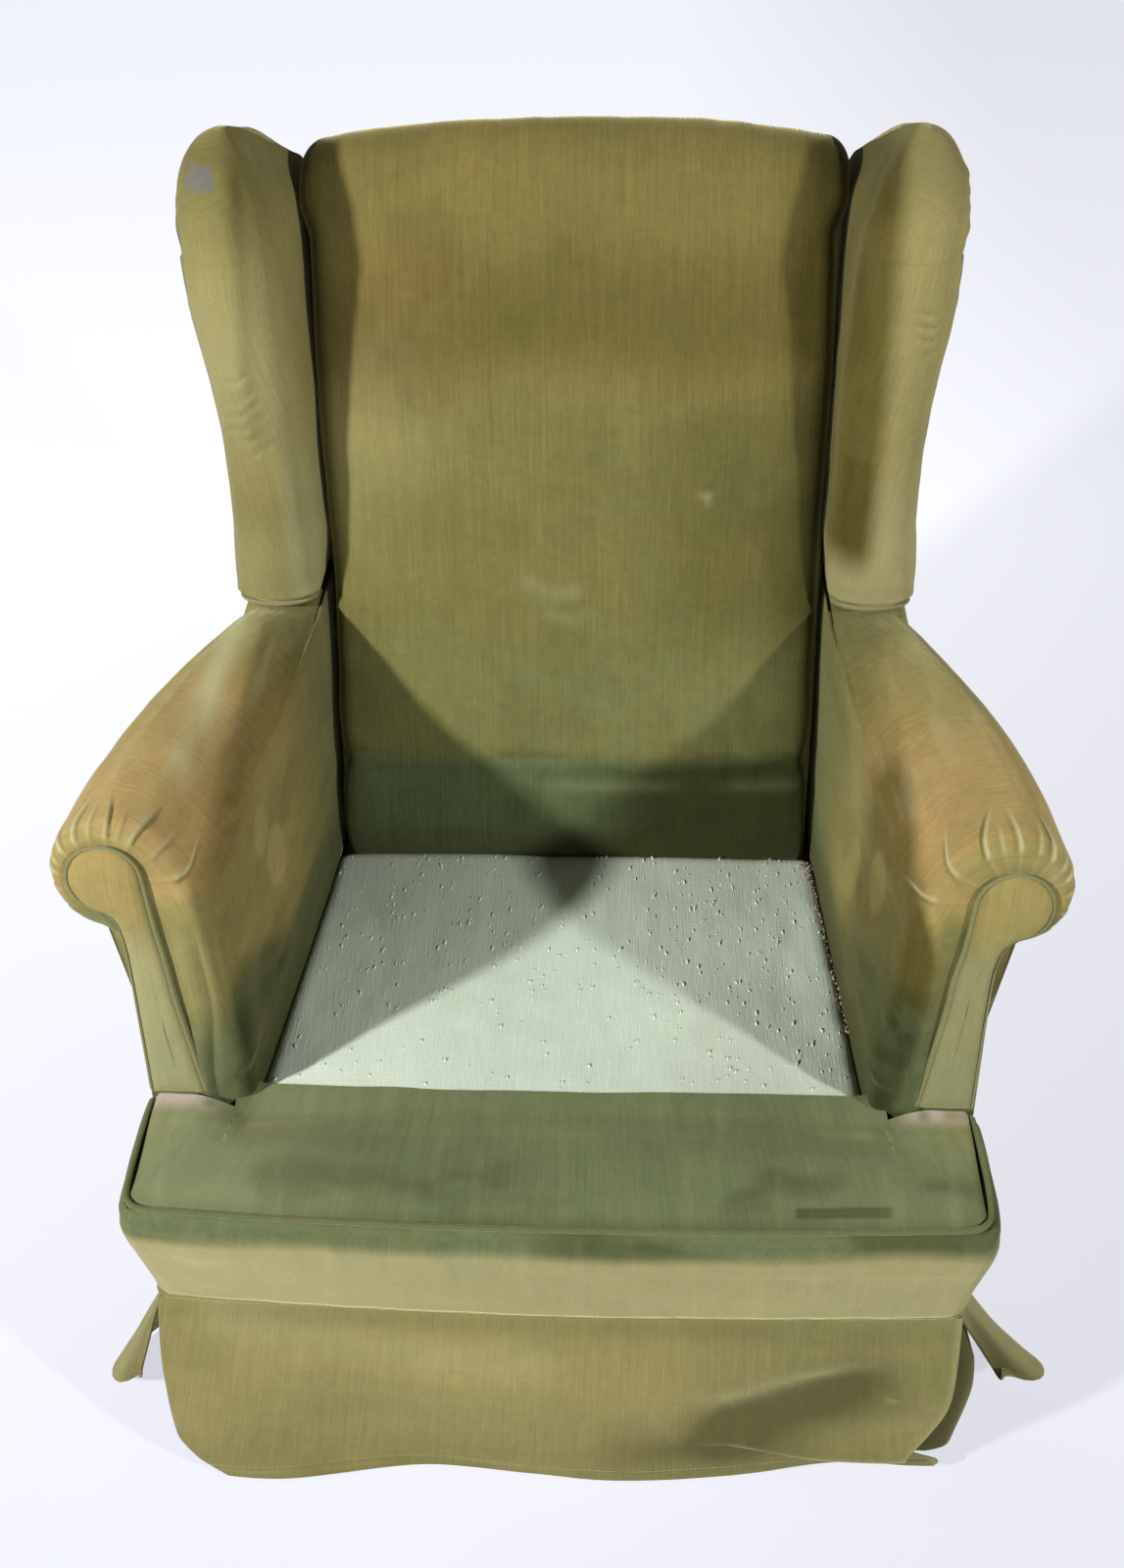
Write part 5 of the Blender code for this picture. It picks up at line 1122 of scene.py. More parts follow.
def arm_wear_and_shade(rings, depth, t, fold, tuck, side):
    look = ARM_WEAR_AND_SHADE[side]
    at = rings * [side, 1, 1]
    x, y, z = coordinates_of(at)
    on_top = ramp(z, 0.545, 0.60)
    low_front = ramp(y, -0.13, -0.18) * ramp(z, 0.575, 0.51)
    within = ramp(x - look.reach_forward * low_front, 0.306, 0.288)
    fade = 0.88 + 0.05 * fractal(rings, (10, 7, 10), 3, 90 + side) + 0.05 * on_top * ramp(t, 0.4, 0.1)
    fade -= look.loss_behind * ramp(t, 0.25, 0.55)
    fade -= 0.28 * ramp(t, 0.45, 0.78)
    fade -= look.loss_inside * within * ramp(z, 0.585, 0.52)
    # the inner side, turned from the lamps, takes painted shade; the right arm more so towards the front
    soil_and_shade = look.shade_inside * within * (1 - 0.28 * ramp(z, 0.58, 0.53))
    soil_and_shade += look.shade_forward * within * ramp(y, 0.00, -0.09)
    strokes = fractal(rings, (22, 8, 22), 4, 100 + side)
    soil_and_shade += (0.20 * ramp(strokes, 0.10, 0.65) - 0.16 * ramp(strokes, -0.15, -0.6)) * ramp(depth, 0.01, 0.05)
    # the foot, kept green by the lost cushion, and darkened by painted shade down by the seat
    foot_z = z - look.foot_climb * ramp(y, -0.02, -0.20) + 0.006 * noise(rings, 14, 5)
    low = ramp(foot_z, 0.400, 0.345)
    fade = mix(fade, 0.15 + 0.04 * noise(rings, 30, 7), low)
    soil_and_shade = mix(soil_and_shade, 0.98, low)
    # the strip beside the facing, lit by the lamps: its painted shade is cleared, and it takes its own tone
    if side > 0:
        seam_x = along(RIGHT_SEAM_X, z)
        strip = ramp(depth, 0.013, 0.004) * ramp(z, 0.575, 0.535) * ramp(x, seam_x - 0.026, seam_x - 0.010)
    else:
        strip = ramp(depth, 0.017, 0.005) * ramp(z, 0.575, 0.535)
    fade = mix(fade, mix(0.24, look.strip_fade, ramp(z, 0.40, look.strip_z)), strip)
    soil_and_shade = soil_and_shade * (1 - mix(0.55, look.strip_clear, ramp(z, 0.40, 0.46)) * strip)
    # painted shade in the tucks of the gathers and at the front edge of the top
    soil_and_shade += 0.55 * tuck + 0.20 * ramp(depth, 0.0035, 0.0) * on_top
    fade -= 0.12 * ramp(depth, 0.014, 0.004) * on_top
    fade = mix(fade, 0.34, ramp(x, 0.352, 0.362) * ramp(z, 0.562, 0.540))
    # painted highlight along the folds of the gathers, and worn pile on the top and in the strip
    rub_and_highlight = 1.15 * fold + 0.06 * on_top + look.strip_rub * strip
    rub_and_highlight += 0.13 * patchy(rings, (60, 14, 60), 3, 103, 0.1, 0.8) * (0.35 + 0.65 * on_top)
    ridge = bell(x, 0.322, 0.013) * ramp(z, 0.58, 0.60) * ramp(t, 0.12, 0.26) * ramp(t, 0.86, 0.72)
    rub_and_highlight += look.ridge_rub * ridge * patchy(rings, (40, 9, 40), 2, 102, -0.6, 0.2)
    for light, centre, reach in ARM_BRUSHED[side]:
        soil_and_shade -= light * ramp(spot(at, centre, reach), 0.30, 0.45)
    if side > 0:
        soil_and_shade += 0.20 * crease(at, RIGHT_ARM_STREAK, 0.005)
        rub_and_highlight += 0.16 * spot(at, (0.262, -0.012, 0.52), (0.03, 0.026, 0.016))
    else:
        rub_and_highlight += 0.12 * crease(at, LEFT_ARM_OVAL, 0.006, 0.0)
    return fade, soil_and_shade, rub_and_highlight


def make_inside_arm(side):
    rings, depth, length = arm_form(side)
    t = depth / length
    normal = normals_of(rings, around=True)[:, :ARM_SHOWN]
    inner_side_sample = normal[132, 60]
    normal = normal if inner_side_sample[0] < 0 else -normal
    body = rings[:, :ARM_SHOWN]
    lift, fold, tuck = arm_relief(body, depth, t, side)
    rings = np.concatenate([body + normal * lift[..., None], rings[:, ARM_SHOWN:]], axis=1) * [side, 1, 1]
    obj = tube(sided("inside_arm_cover", side), rings, COVER)
    hidden = ((0, 0), (0, rings.shape[1] - ARM_SHOWN))
    wear_and_shade(obj, grid_of(lengths(rings, 0), lengths(rings, 1)),
         *arm_wear_and_shade(rings, depth, t, np.pad(fold, hidden), np.pad(tuck, hidden), side))
    dress(obj, "velour", sided("inside_arm", side))


# how much wider each facing's stem is than its solid's, its tones from foot to head, and its rub
FACING_WIDER = {-1: 0.0025, 1: 0.0015}
FACING_TONES = {-1: (0.38, 0.58, 0.80), 1: (0.36, 0.48, 0.78)}
FACING_RUB = {-1: 0.38, 1: 0.26}
# the face of a facing, from its rim to its middle line: share of the way, and height
FACING_PROFILE = [(0, 0.0003), (0, 0.0022), (0.02, 0.0040), (0.06, 0.0052), (0.13, 0.0062), (0.22, 0.0070),
                  (0.33, 0.0076), (0.45, 0.0080), (0.58, 0.0082), (0.72, 0.0083), (0.86, 0.0084),
                  (0.97, 0.0084)]
FACING_CORD = (0.0017, 0.0017, 0.0016, 0.0015, 0.0015, 0.0016, 0.0019, 0.0024, 0.0027, 0.0028, 0.0028)


def facing_outline(head, wider):
    """Mushroom-shaped: up the outer side of the stem, round the head, and down the inner side."""
    stem = [(0.3550 + wider, FACING_BOTTOM), (0.3552 + wider, 0.40), (0.3555 + wider, 0.44),
            (0.3560 + wider, head - 0.09), (0.3572 + wider, head - 0.062),
            (0.3625 + 0.4 * wider, head - 0.041), (0.3720, head - 0.0305)]
    rounded = [(ROLL_X + FACING_RADIUS * math.cos(turn), head + FACING_RADIUS * math.sin(turn))
               for turn in np.radians(np.linspace(-55, 180, 14))]
    inner = [(0.3355, head - 0.038), (0.3300, 0.500), (0.3265, 0.465), (0.3190, 0.415),
             (0.3110, FACING_BOTTOM)]
    return stem + rounded + inner


def make_arm_facing(side):
    head = FACING_Z[side]
    edge = resample(facing_outline(head, FACING_WIDER[side]), 260)
    foot = resample([edge[-1], edge[0]], 24, rounded=False)[1:-1]
    loop = np.vstack([edge, foot])
    spine = resample([(0.333, 0.392), (0.3365, 0.43), (0.341, 0.475), (0.3465, head - 0.062),
                      (0.3575, head - 0.030), (ROLL_X - 0.001, head - 0.003)], 80)
    nearest = np.argmin(np.linalg.norm(loop[:, None] - spine[None], axis=-1), axis=1)
    rings = []
    for s, height in FACING_PROFILE:
        x, z = mix(loop, spine[nearest], s).T
        rings.append(grid_of(x, arm_front_y(z) - height, z))
    rings = np.stack(rings)
    inward = np.linspace(0, 1, len(rings))[:, None]
    bumpy = 0.0006 * noise(rings * [side, 1, 1], 60, 110 + side) * inward
    dented = spot(rings, (ROLL_X, -0.21, head), (0.02, 1, 0.02)) * (rings[..., 1] < 0)
    rings[..., 1] -= bumpy + 0.0008 * dented
    obj = tube(sided("arm_facing_cover", side), rings * [side, 1, 1], COVER)

    x, _, z = coordinates_of(rings)
    foot_tone, stem_tone, head_tone = FACING_TONES[side]
    fade = mix(mix(foot_tone, stem_tone, ramp(z, 0.40, 0.47)), head_tone, ramp(z, 0.50, 0.57))
    fade = fade + 0.04 * fractal(rings, 24, 2, 120)
    # darker towards the rim, and darkest in the open seam beside its inner edge: painted shade
    soil_and_shade = 0.20 * (1 - inward ** 0.4) + 0 * x
    soil_and_shade += 0.45 * (1 - inward) ** 3 * (x < mix(0.318, 0.345, ramp(z, 0.40, 0.54)))
    rub_and_highlight = FACING_RUB[side] * ramp(z, 0.56, 0.50) + 0.05
    wear_and_shade(obj, grid_of(x, z), fade, soil_and_shade, rub_and_highlight)
    dress(obj, "velour", sided("arm_facing", side))
    make_facing_piping(side, edge)


def make_facing_piping(side, edge):
    """Round the head and down both sides of the stem, just outside the facing's edge."""
    step = np.gradient(edge, axis=0)
    step /= np.linalg.norm(step, axis=1, keepdims=True)
    line = edge + np.stack([step[:, 1], -step[:, 0]], axis=1) * 0.0012
    every = 6
    kept = [0] + list(range(every, len(line) - every, every)) + [len(line) - 1]
    points = [(side * x, arm_front_y(z) - 0.0030, z) for x, z in line[kept]]
    obj = cord(sided("facing_cord", side), points, FACING_CORD, fade=0.45, rub_and_highlight=0.16, seed=130 + side)
    dress(obj, "piping", sided("facing_piping", side))


# ---------------------------------------------------------------- outside panels
def make_panel(name, node, inner, offset, fade, seed):
    """A tacked cover over thin wadding: offset leads from its inner surface to its outer one."""
    edge = edge_distance(inner)
    swell = round_edge(edge, 0.0035)
    waves = 0.0010 * noise(inner, 12, seed) * ramp(edge, 0.0, 0.06)
    pucker = 0.0006 * np.sin(230 * (inner[..., 1] + inner[..., 2]) + 3 * noise(inner, 30, seed + 1))
    waves = waves + pucker * bell(edge, 0.010, 0.008)
    offset = np.array(offset)
    thick = np.linalg.norm(offset)
    outer = inner + offset / thick * (thick * swell + waves * swell)[..., None]
    for border in BORDERS:
        outer[border] = inner[border] + 0.5 * offset
    obj, mask = lens(name, outer, inner, COVER)
    tone = fade + 0.08 * fractal(inner, 8, 3, seed + 2)
    weave = grid_of(lengths(inner, 1), inner[..., 2])
    # darker in a band along its edges, where it turns into the seams: painted shade
    lens_wear_and_shade(obj, mask, weave, tone, 0.20 * bell(edge, 0.004, 0.006), 0.06)
    dress(obj, "velour", node)


def make_outside_arm(side):
    skin = ARM_FRONT_SKIN + CLOTH_GAP
    step_z = ARM_BOTTOM_FRONT - 0.0006
    heights = crowded(SEAM_Z + (0.56 - SEAM_Z) * near_ends(52), step_z) - SEAM_Z
    heights = heights / heights[-1]
    rows = []
    # first from the front to the back post, then across the post
    for t in np.concatenate([near_ends(76)[:-1], [0.9995, 1.0]]):
        z = SEAM_Z + heights * (arm_under_z(t) - 0.0001 - SEAM_Z)
        front = mix(BORDER_END + 0.0020, arm_front_y(z) + skin, ramp(z, step_z - 0.0003, step_z + 0.0003))
        y = mix(front, post_y(z) - 0.003, t)
        rows.append(grid_of(panel_inner_x(y, z), y, z))
    for s in near_ends(16)[1:]:
        top = mix(arm_under_z(1.0), WING_BOTTOM - 0.0003, float(ramp(s, 0.0, 0.04)))
        z = SEAM_Z + heights * (top - SEAM_Z)
        y = mix(post_y(z) - 0.003, post_y(z) + POST_DEPTH + PANEL_LAP, s)
        rows.append(grid_of(panel_inner_x(y, z), y, z))
    make_panel(sided("outside_arm_cover", side), sided("outside_arm", side), np.stack(rows) * [side, 1, 1],
               [side * PANEL_THICK, 0, 0], 0.50, 140 + side)


def make_outside_wing(side):
    bottom, top = WING_BOTTOM + 0.0003, 0.9395
    rows = []
    for z in bottom + (top - bottom) * near_ends(70):
        front = along(WING_POST_INNER, z) + WING_POST_THICK + CLOTH_GAP
        rear = float(post_y(z)) + POST_DEPTH + PANEL_LAP
        y = WING_POST_Y + CLOTH_GAP + (rear - WING_POST_Y - CLOTH_GAP) * near_ends(44)
        joint = WING_POST_Y + WING_POST_DEPTH
        t = np.clip((y - joint) / (float(post_y(z)) - joint), 0, 1)
        rows.append(grid_of(mix(front, POST_OUTER + PANEL_LAP, t), y, z))
    make_panel(sided("outside_wing_cover", side), sided("outside_wing", side), np.stack(rows) * [side, 1, 1],
               [side * PANEL_THICK, 0, 0], 0.52, 150 + side)


def make_outside_back():
    half = POST_OUTER + 0.0045
    x = -half + 2 * half * near_ends(64)
    rows = [grid_of(x, float(post_y(z)) + POST_DEPTH + 0.0004, z)
            for z in SEAM_Z + (OUTSIDE_TOP - SEAM_Z) * near_ends(74)]
    make_panel("outside_back_cover", "outside_back", np.stack(rows), [0, 0.005, 0], 0.46, 160)


# ---------------------------------------------------------------- seat
def seat_sag(y):
    """How far the worn webbing has dropped between the front and rear rails."""
    front, rear = FRONT_Y + 0.028, REAR_Y - 0.028
    return 0.018 * np.sin(math.pi * np.clip((y - front) / (rear - front), 0.0, 1.0))


PLATFORM_PULLS = [((-0.236, 0.08, 0.32), (-0.20, 0.02, 0.32), (-0.17, -0.06, 0.33)),
                  ((0.240, 0.06, 0.32), (0.215, -0.02, 0.32), (0.205, -0.10, 0.33))]


def make_seat_platform():
    """The pale cloth over the seat, sagging with its webbing and tucked in on all sides."""
    t, u = np.meshgrid(near_ends(112), -1 + 2 * near_ends(144), indexing="ij")
    gap = 0.0009
    edge_y = mix(lip_rear_y(1.0), DECK_REAR - 0.002, t)
    x = u * (arm_foot_x(edge_y) - gap)
    y = mix(lip_rear_y(x) + gap, DECK_REAR + 0.001 - 0.003 * u * u, t)
    low = grid_of(x, y, 0.2958 - seat_sag(y))
    z = deck_top(x, y)
    flat = grid_of(x, y, z)
    side_edge = (1 - np.abs(u)) * arm_foot_x(edge_y)
    rear_edge = (1 - t) * (DECK_REAR - LIP_REAR)
    z = z - 0.008 * (1 - round_edge(side_edge, 0.014)) - 0.003 * (1 - round_edge(rear_edge, 0.008))
    z = z + 0.0016 * fractal(flat, 7.0, 3, 170) + 0.0004 * noise(flat, (70, 25, 1), 172)
    z = z - 0.0022 * spot(flat, (-0.06, -0.02, 0.32), (0.09, 0.07, 1))
    z = z + 0.0012 * spot(flat, (0.1, -0.1, 0.33), (0.06, 0.05, 1))
    for line in PLATFORM_PULLS:
        z = z - 0.0012 * crease(flat, line, 0.012)
    top = grid_of(x, y, z)
    for border in BORDERS:
        top[border][..., 2] = low[border][..., 2]
    obj, mask = lens("seat_platform_cover", top, low, PLATFORM)
    # darker towards the rear, in its fade and in its darkening below: painted shade
    fade = 0.86 - 0.72 * ramp(y, -0.17, 0.06) + 0.12 * fractal(top, 5, 2, 173)
    # painted shadows of the right arm on the front right of the deck and of the left arm on its left, and
    # painted shade in the crevices at its sides and rear
    soil_and_shade = 0.17 * ramp(y, -0.08, 0.08) + 0.20 * ramp(x, 0.06, 0.20) * ramp(y, 0.0, -0.1)
    soil_and_shade += 0.10 * ramp(x, -0.08, -0.22) * ramp(y, -0.2, -0.05)
    soil_and_shade += 0.30 * ramp(side_edge, 0.010, 0.0) + 0.34 * ramp(rear_edge, 0.012, 0.0)
    soil_and_shade += 0.34 * ramp(side_edge, 0.020, 0.003) * patchy(top, 45, 1, 175, -0.5, 0.5) * (x > 0)
    soil_and_shade += 0.05 * patchy(top, 22, 2, 174, 0.2, 0.9)
    lens_wear_and_shade(obj, mask, grid_of(x + 0.02 * y, y), fade, soil_and_shade)
    dress(obj, "platform_cloth", "seat_platform")
    make_pills(top)


def scatter(name, places, sizes, material, seed, lengthened=(1.0, 1.0, 1.0), tones=None):
    """Many small uneven lumps in one mesh, each a dented icosahedron turned a little."""
    golden = (1 + 5 ** 0.5) / 2
    corners = np.array([(-1, golden, 0), (1, golden, 0), (-1, -golden, 0), (1, -golden, 0), (0, -1, golden),
                        (0, 1, golden), (0, -1, -golden), (0, 1, -golden), (golden, 0, -1), (golden, 0, 1),
                        (-golden, 0, -1), (-golden, 0, 1)]) / math.hypot(1, golden)
    sides = [(0, 11, 5), (0, 5, 1), (0, 1, 7), (0, 7, 10), (0, 10, 11), (1, 5, 9), (5, 11, 4), (11, 10, 2),
             (10, 7, 6), (7, 1, 8), (3, 9, 4), (3, 4, 2), (3, 2, 6), (3, 6, 8), (3, 8, 9), (4, 9, 5),
             (2, 4, 11), (6, 2, 10), (8, 6, 7), (9, 8, 1)]
    count = len(corners)
    random = np.random.default_rng(seed)
    points, faces = [], []
    for k, (place, size) in enumerate(zip(places, sizes)):
        dented = corners * (1 + 0.35 * (random.random((count, 1)) - 0.5)) * np.array(lengthened) * size
        angle = random.random() * 0.9 - 0.45
        cos, sin = math.cos(angle), math.sin(angle)
        turn = np.array([[cos, -sin, 0], [sin, cos, 0], [0, 0, 1]])
        points.append(dented @ turn.T + place)
        faces += [tuple(count * k + i for i in side) for side in sides]
    points = np.vstack(points)
    obj = make_mesh(name, points, faces, material)
    if tones is not None:
        wear_and_shade(obj, points[:, :2], np.repeat(tones, count))
    return obj


def make_pills(top):
    """Little knots and pills that stand on the platform cloth, most of them towards its right side."""
    random = np.random.default_rng(11)
    rows, columns = top.shape[:2]
    places, sizes, tones = [], [], []
    while len(places) < 430:
        r, c = random.integers(6, rows - 5), random.integers(6, columns - 6)
        x, y, z = top[r, c]
        likely = 0.30 + 0.40 * float(ramp(x, 0.02, 0.20)) + 0.30 * float(ramp(y, -0.16, 0.06))
        likely -= 0.22 * float(spot(np.array([x, y, 0.0]), (-0.02, -0.16, 0), (0.12, 0.08, 1)))
        if random.random() > likely:
            continue
        places.append((x + random.normal() * 0.001, y + random.normal() * 0.001, z + 0.0001))
        sizes.append(0.0010 + 0.0010 * random.random() ** 2)
        tones.append(0.75 + 0.25 * random.random())
    pills = scatter("platform_pills", places, sizes, PLATFORM, 12, (0.62, 2.1, 0.95), tones)
    dress(pills, "platform_cloth")


LIP_CROWN = [(0, 0.3447), (0.007, 0.3468), (0.03, 0.3540), (0.062, 0.3585), (0.12, 0.3610)]


def lip_forms():
    """Grids of the lip's top and underside, how far each point is from its front and sides, and v."""
    half = HALF_FRONT + LIP_SIDE
    columns = np.concatenate([half * (-1 + 2 * near_ends(196)), [-LIP_NECK, LIP_NECK]])
    for shoulder in (-LIP_NECK - 0.0014, LIP_NECK + 0.0014):
        columns = crowded(columns, shoulder)
    v, fx = np.meshgrid(near_ends(74), np.unique(columns), indexing="ij")
    neck = ramp(np.abs(fx), LIP_NECK + 0.0026, LIP_NECK)
    rear = mix(LIP_SHOULDER_Y, lip_rear_y(np.minimum(np.abs(fx), LIP_NECK)), neck)
    corner = 0.018
    into = np.clip(np.abs(fx) - (half - corner), 0.0, corner)
    front = FRONT_Y - CLOTH_GAP - 0.0015 - front_bow(fx) + corner - np.sqrt(corner ** 2 - into ** 2)
    y = mix(front, rear, v)
    x = mix(fx, mix(fx * (side_x(LIP_SHOULDER_Y) + LIP_SIDE) / half, fx, neck), v)
    from_front = y - front
    from_side = np.maximum(side_x(y) + LIP_SIDE - np.abs(x), 0.0)
    edge_z, lap_z = LIP_CROWN[0][1] + edge_rise(y), BORDER_TOP + 0.0005 + edge_rise(y)
    crown = np.maximum(along(LIP_CROWN, from_front), edge_z)
    reach = mix(0.034, 0.007, ramp(y, -0.300, -0.250))
    pillow = 1 - (1 - np.clip(from_side / reach, 0, 1)) ** 2.4
    z = edge_z + (crown - edge_z) * pillow
    # behind, it climbs to the platform between the arms and to the feet of the facings beside them
    deck = deck_top(np.minimum(np.abs(x), LIP_NECK), lip_rear_y(x)) + 0.0022
    climb = ramp(y, mix(front, LIP_SHOULDER_Y, 0.45), LIP_SHOULDER_Y) ** 1.5
    z = mix(z, mix(deck, 0.3668, ramp(np.abs(x), 0.255, 0.322)), climb)
    flat = grid_of(x, y, z)
    z = z + (0.0016 * fractal(flat, 8.0, 3, 180) - 0.0016 * bell(x, 0.05, 0.10) * bell(v, 0.5, 0.3)) * pillow
    z = z - 0.0011 * np.exp(-(from_front / 0.010) ** 2) * pillow
    z = lap_z + (z - lap_z) * round_edge(np.minimum(from_front, from_side), 0.0042)
    top = grid_of(x, y, z)
    top[-1, :, 2] = np.minimum(top[-1, :, 2], 0.335)
    low = grid_of(np.clip(x, -half + 0.004, half - 0.004), np.maximum(y, FRONT_Y + 0.0006), LIP_BOTTOM)
    return top, low, from_front, from_side, v


def make_front_lip():
    """T-shaped: narrow between the arms, full width in front of them, lapped over the border."""
    top, low, from_front, from_side, v = lip_forms()
    obj, mask = lens("front_lip_cover", top, low, COVER)
    x, y, _ = coordinates_of(top)
    aside = np.abs(x)
    # a flattened strip in the pile near the front edge, on the right
    mark = (ramp(x, 0.2005, 0.2025) * ramp(x, 0.2815, 0.2795) * ramp(from_front, 0.0075, 0.0085)
            * ramp(from_front, 0.0160, 0.0150))
    fade = 0.19 + 0.03 * fractal(top, (9, 14, 9), 3, 181) + 0.03 * ramp(aside, 0.20, 0.34)
    fade += 0.14 * ramp(aside, 0.30, 0.35) * ramp(y, -0.325, -0.27) + 0.04 * ramp(y, -0.29, -0.24)
    fade += 0.08 * mark
    soil_and_shade = 0.62 * bell(y, -0.320, 0.026) * patchy(top, (13, 24, 5), 3, 182, -0.10, 0.50)
    # painted shade along the front edge, and in the valley beside the cord on each side
    soil_and_shade += 0.45 * np.exp(-(from_front / 0.0060) ** 2) + 0.10 * np.exp(-(from_side / 0.0035) ** 2)
    soil_and_shade += 1.1 * mark * patchy(top, (260, 30, 1), 1, 184, -1.7, -0.7)
    rub_and_highlight = 0.07 + 0.12 * ramp(x, -0.12, -0.27) + 0.03 * ramp(x, 0.14, 0.27)
    rub_and_highlight += 0.05 * patchy(top, (90, 9, 9), 2, 183, 0.2, 0.9)
    dusty = 0.75 * ramp(aside, 0.285, 0.315) * ramp(y, -0.268, -0.250) * patchy(top, 90, 1, 185, -1.1, 0.3)
    lens_wear_and_shade(obj, mask, grid_of(x + 0.12 * x * (v - 0.5), y), fade, soil_and_shade, rub_and_highlight, dusty)
    dress(obj, "velour_green", "front_lip")


def seat_front_path(side_offset, front_offset, bow, corner, count):
    """Round the seat front, at offsets from the frame: left side, front, right side."""
    x0, y0 = HALF_FRONT + side_offset, FRONT_Y - front_offset
    half = [(side_x(BORDER_END) + side_offset, BORDER_END), (x0, y0 + 0.045)]
    for turn in np.radians((0, 22.5, 45, 67.5, 90)):
        half.append((x0 - corner + corner * math.cos(turn), y0 + corner - corner * math.sin(turn)))
    half += [(x, y0 - bow * (1 - (x / HALF_FRONT) ** 2)) for x in (0.31, 0.27, 0.22, 0.15, 0.07)]
    path = [(-x, y) for x, y in half] + [(0.0, y0 - bow)] + list(reversed(half))
    return resample(path, count)


def border_forms(count):
    """The border's outer grid, which bulges round the padded lip, and its inner one, on the rails below."""
    heights = SEAM_Z + (BORDER_TOP - SEAM_Z) * near_ends(50)
    sides = along([(z, dx) for z, dx, _ in BORDER_PROFILE], heights)
    fronts = along([(z, dy) for z, _, dy in BORDER_PROFILE], heights)
    outer, inner = [], []
    for z, dx, dy in zip(heights, sides, fronts):
        lifted = float(ramp(z, 0.295, BORDER_TOP))
        beside = mix(CLOTH_GAP, LIP_SIDE + 0.001, float(ramp(z, 0.2912, 0.2937)))
        for rows, path in ((outer, seat_front_path(dx, dy, FRONT_BOW, BORDER_CORNER, count)),
                           (inner, seat_front_path(beside, CLOTH_GAP, 0.0, 0.004, count))):
            rows.append(np.hstack([path, z + edge_rise(path[:, 1:]) * lifted]))
    return np.stack(outer), np.stack(inner)


def make_front_border():
    count = 340
    outer, inner = border_forms(count)
    normal = normals_of(outer)
    normal = normal * np.sign(-normal[30, count // 2, 1])
    x, _, z = coordinates_of(outer)
    lift = 0.0016 * fractal(outer, (8, 8, 12), 3, 190)
    near_arms = bell(np.abs(x), 0.30, 0.06)
    lift += 0.0007 * noise(outer, (55, 55, 6), 193) + 0.0018 * bell(z, 0.300, 0.018) * near_arms
    lift -= 0.0010 * bell(z, 0.326, 0.006) * patchy(outer, (9, 9, 1), 1, 194, -0.3, 0.5)
    swell = round_edge(edge_distance(outer), 0.0045)
    outer = inner + (outer - inner) * (0.45 + 0.55 * swell)[..., None] + normal * (lift * swell)[..., None]
    obj, mask = lens("front_border_cover", outer, inner, COVER)

    x, _, z = coordinates_of(outer)
    top_band = ramp(z + 0.006 * noise(outer, (8, 8, 1), 195), 0.308, 0.327)
    fade = 0.60 + 0.03 * fractal(outer, (9, 9, 14), 3, 191) + 0.07 * ramp(x, -0.1, -0.30)
    fade = mix(fade, 0.27, top_band)
    soil_and_shade = 0.55 * top_band * patchy(outer, (11, 11, 30), 2, 192, -0.1, 0.5)
    # painted shade just beneath the lip's cord
    soil_and_shade += 0.12 * bell(z, 0.331, 0.006)
    rub_and_highlight = (0.37 + 0.10 * ramp(x, 0.1, -0.3)) * (1 - top_band)
    rub_and_highlight = rub_and_highlight + 0.05 * patchy(outer, (90, 90, 9), 2, 196, 0.2, 0.9)
    slant, above_seam = ramp(x, -0.20, 0.30), z - SEAM_Z
    weave_x = lengths(outer, 1) - 0.42 * slant * above_seam + 0.10 * (1 - slant) * above_seam
    lens_wear_and_shade(obj, mask, grid_of(weave_x, z), fade, soil_and_shade, rub_and_highlight)
    dress(obj, "velour", "front_border")


def make_lip_piping():
    path = seat_front_path(0.0142, 0.0056, FRONT_BOW, BORDER_CORNER, 90)
    z = BORDER_TOP + 0.0002 + PIPING_RADIUS + edge_rise(path[:, 1:])
    points = np.hstack([path, z])
    points[:, 2] += 0.0006 * noise(points, 14, 200)
    obj = cord("lip_cord", points, 0.72 * PIPING_RADIUS, fade=0.22, rub_and_highlight=0.05, seed=201)
    dress(obj, "piping", "lip_piping")


def perimeter(offset, bow):
    """Closed line round the seat frame at an offset, from the front right corner, clockwise."""
    corner = 0.004
    reach = corner + offset
    centres = [(HALF_FRONT - corner, FRONT_Y + corner, 0), (-HALF_FRONT + corner, FRONT_Y + corner, 90),
               (-HALF_REAR + corner, REAR_Y - corner, 180), (HALF_REAR - corner, REAR_Y - corner, 270)]
    points = []
    for k, (cx, cy, start) in enumerate(centres):
        for step in (0, 45, 90):
            turn = math.radians(start + step)
            points.append((cx + reach * math.cos(turn), cy - reach * math.sin(turn)))
        if k == 0:
            points += [(x, FRONT_Y - offset - bow * (1 - (x / HALF_FRONT) ** 2))
                       for x in np.linspace(0.31, -0.31, 9)]
    return points


def make_skirt_piping():
    line = resample(perimeter(PIPING_RADIUS + 0.0006, 0.008), 800, rounded=False, closed=True)
    points = grid_of(line[:, 0], line[:, 1], SEAM_Z - 0.0004 - PIPING_RADIUS)
    obj = cord("skirt_cord", points, PIPING_RADIUS, closed=True, fade=0.52, rub_and_highlight=0.10, seed=210)
    dress(obj, "piping", "skirt_piping")


# ---------------------------------------------------------------- skirt
HEM = 0.0155                # width of the turned-up hem


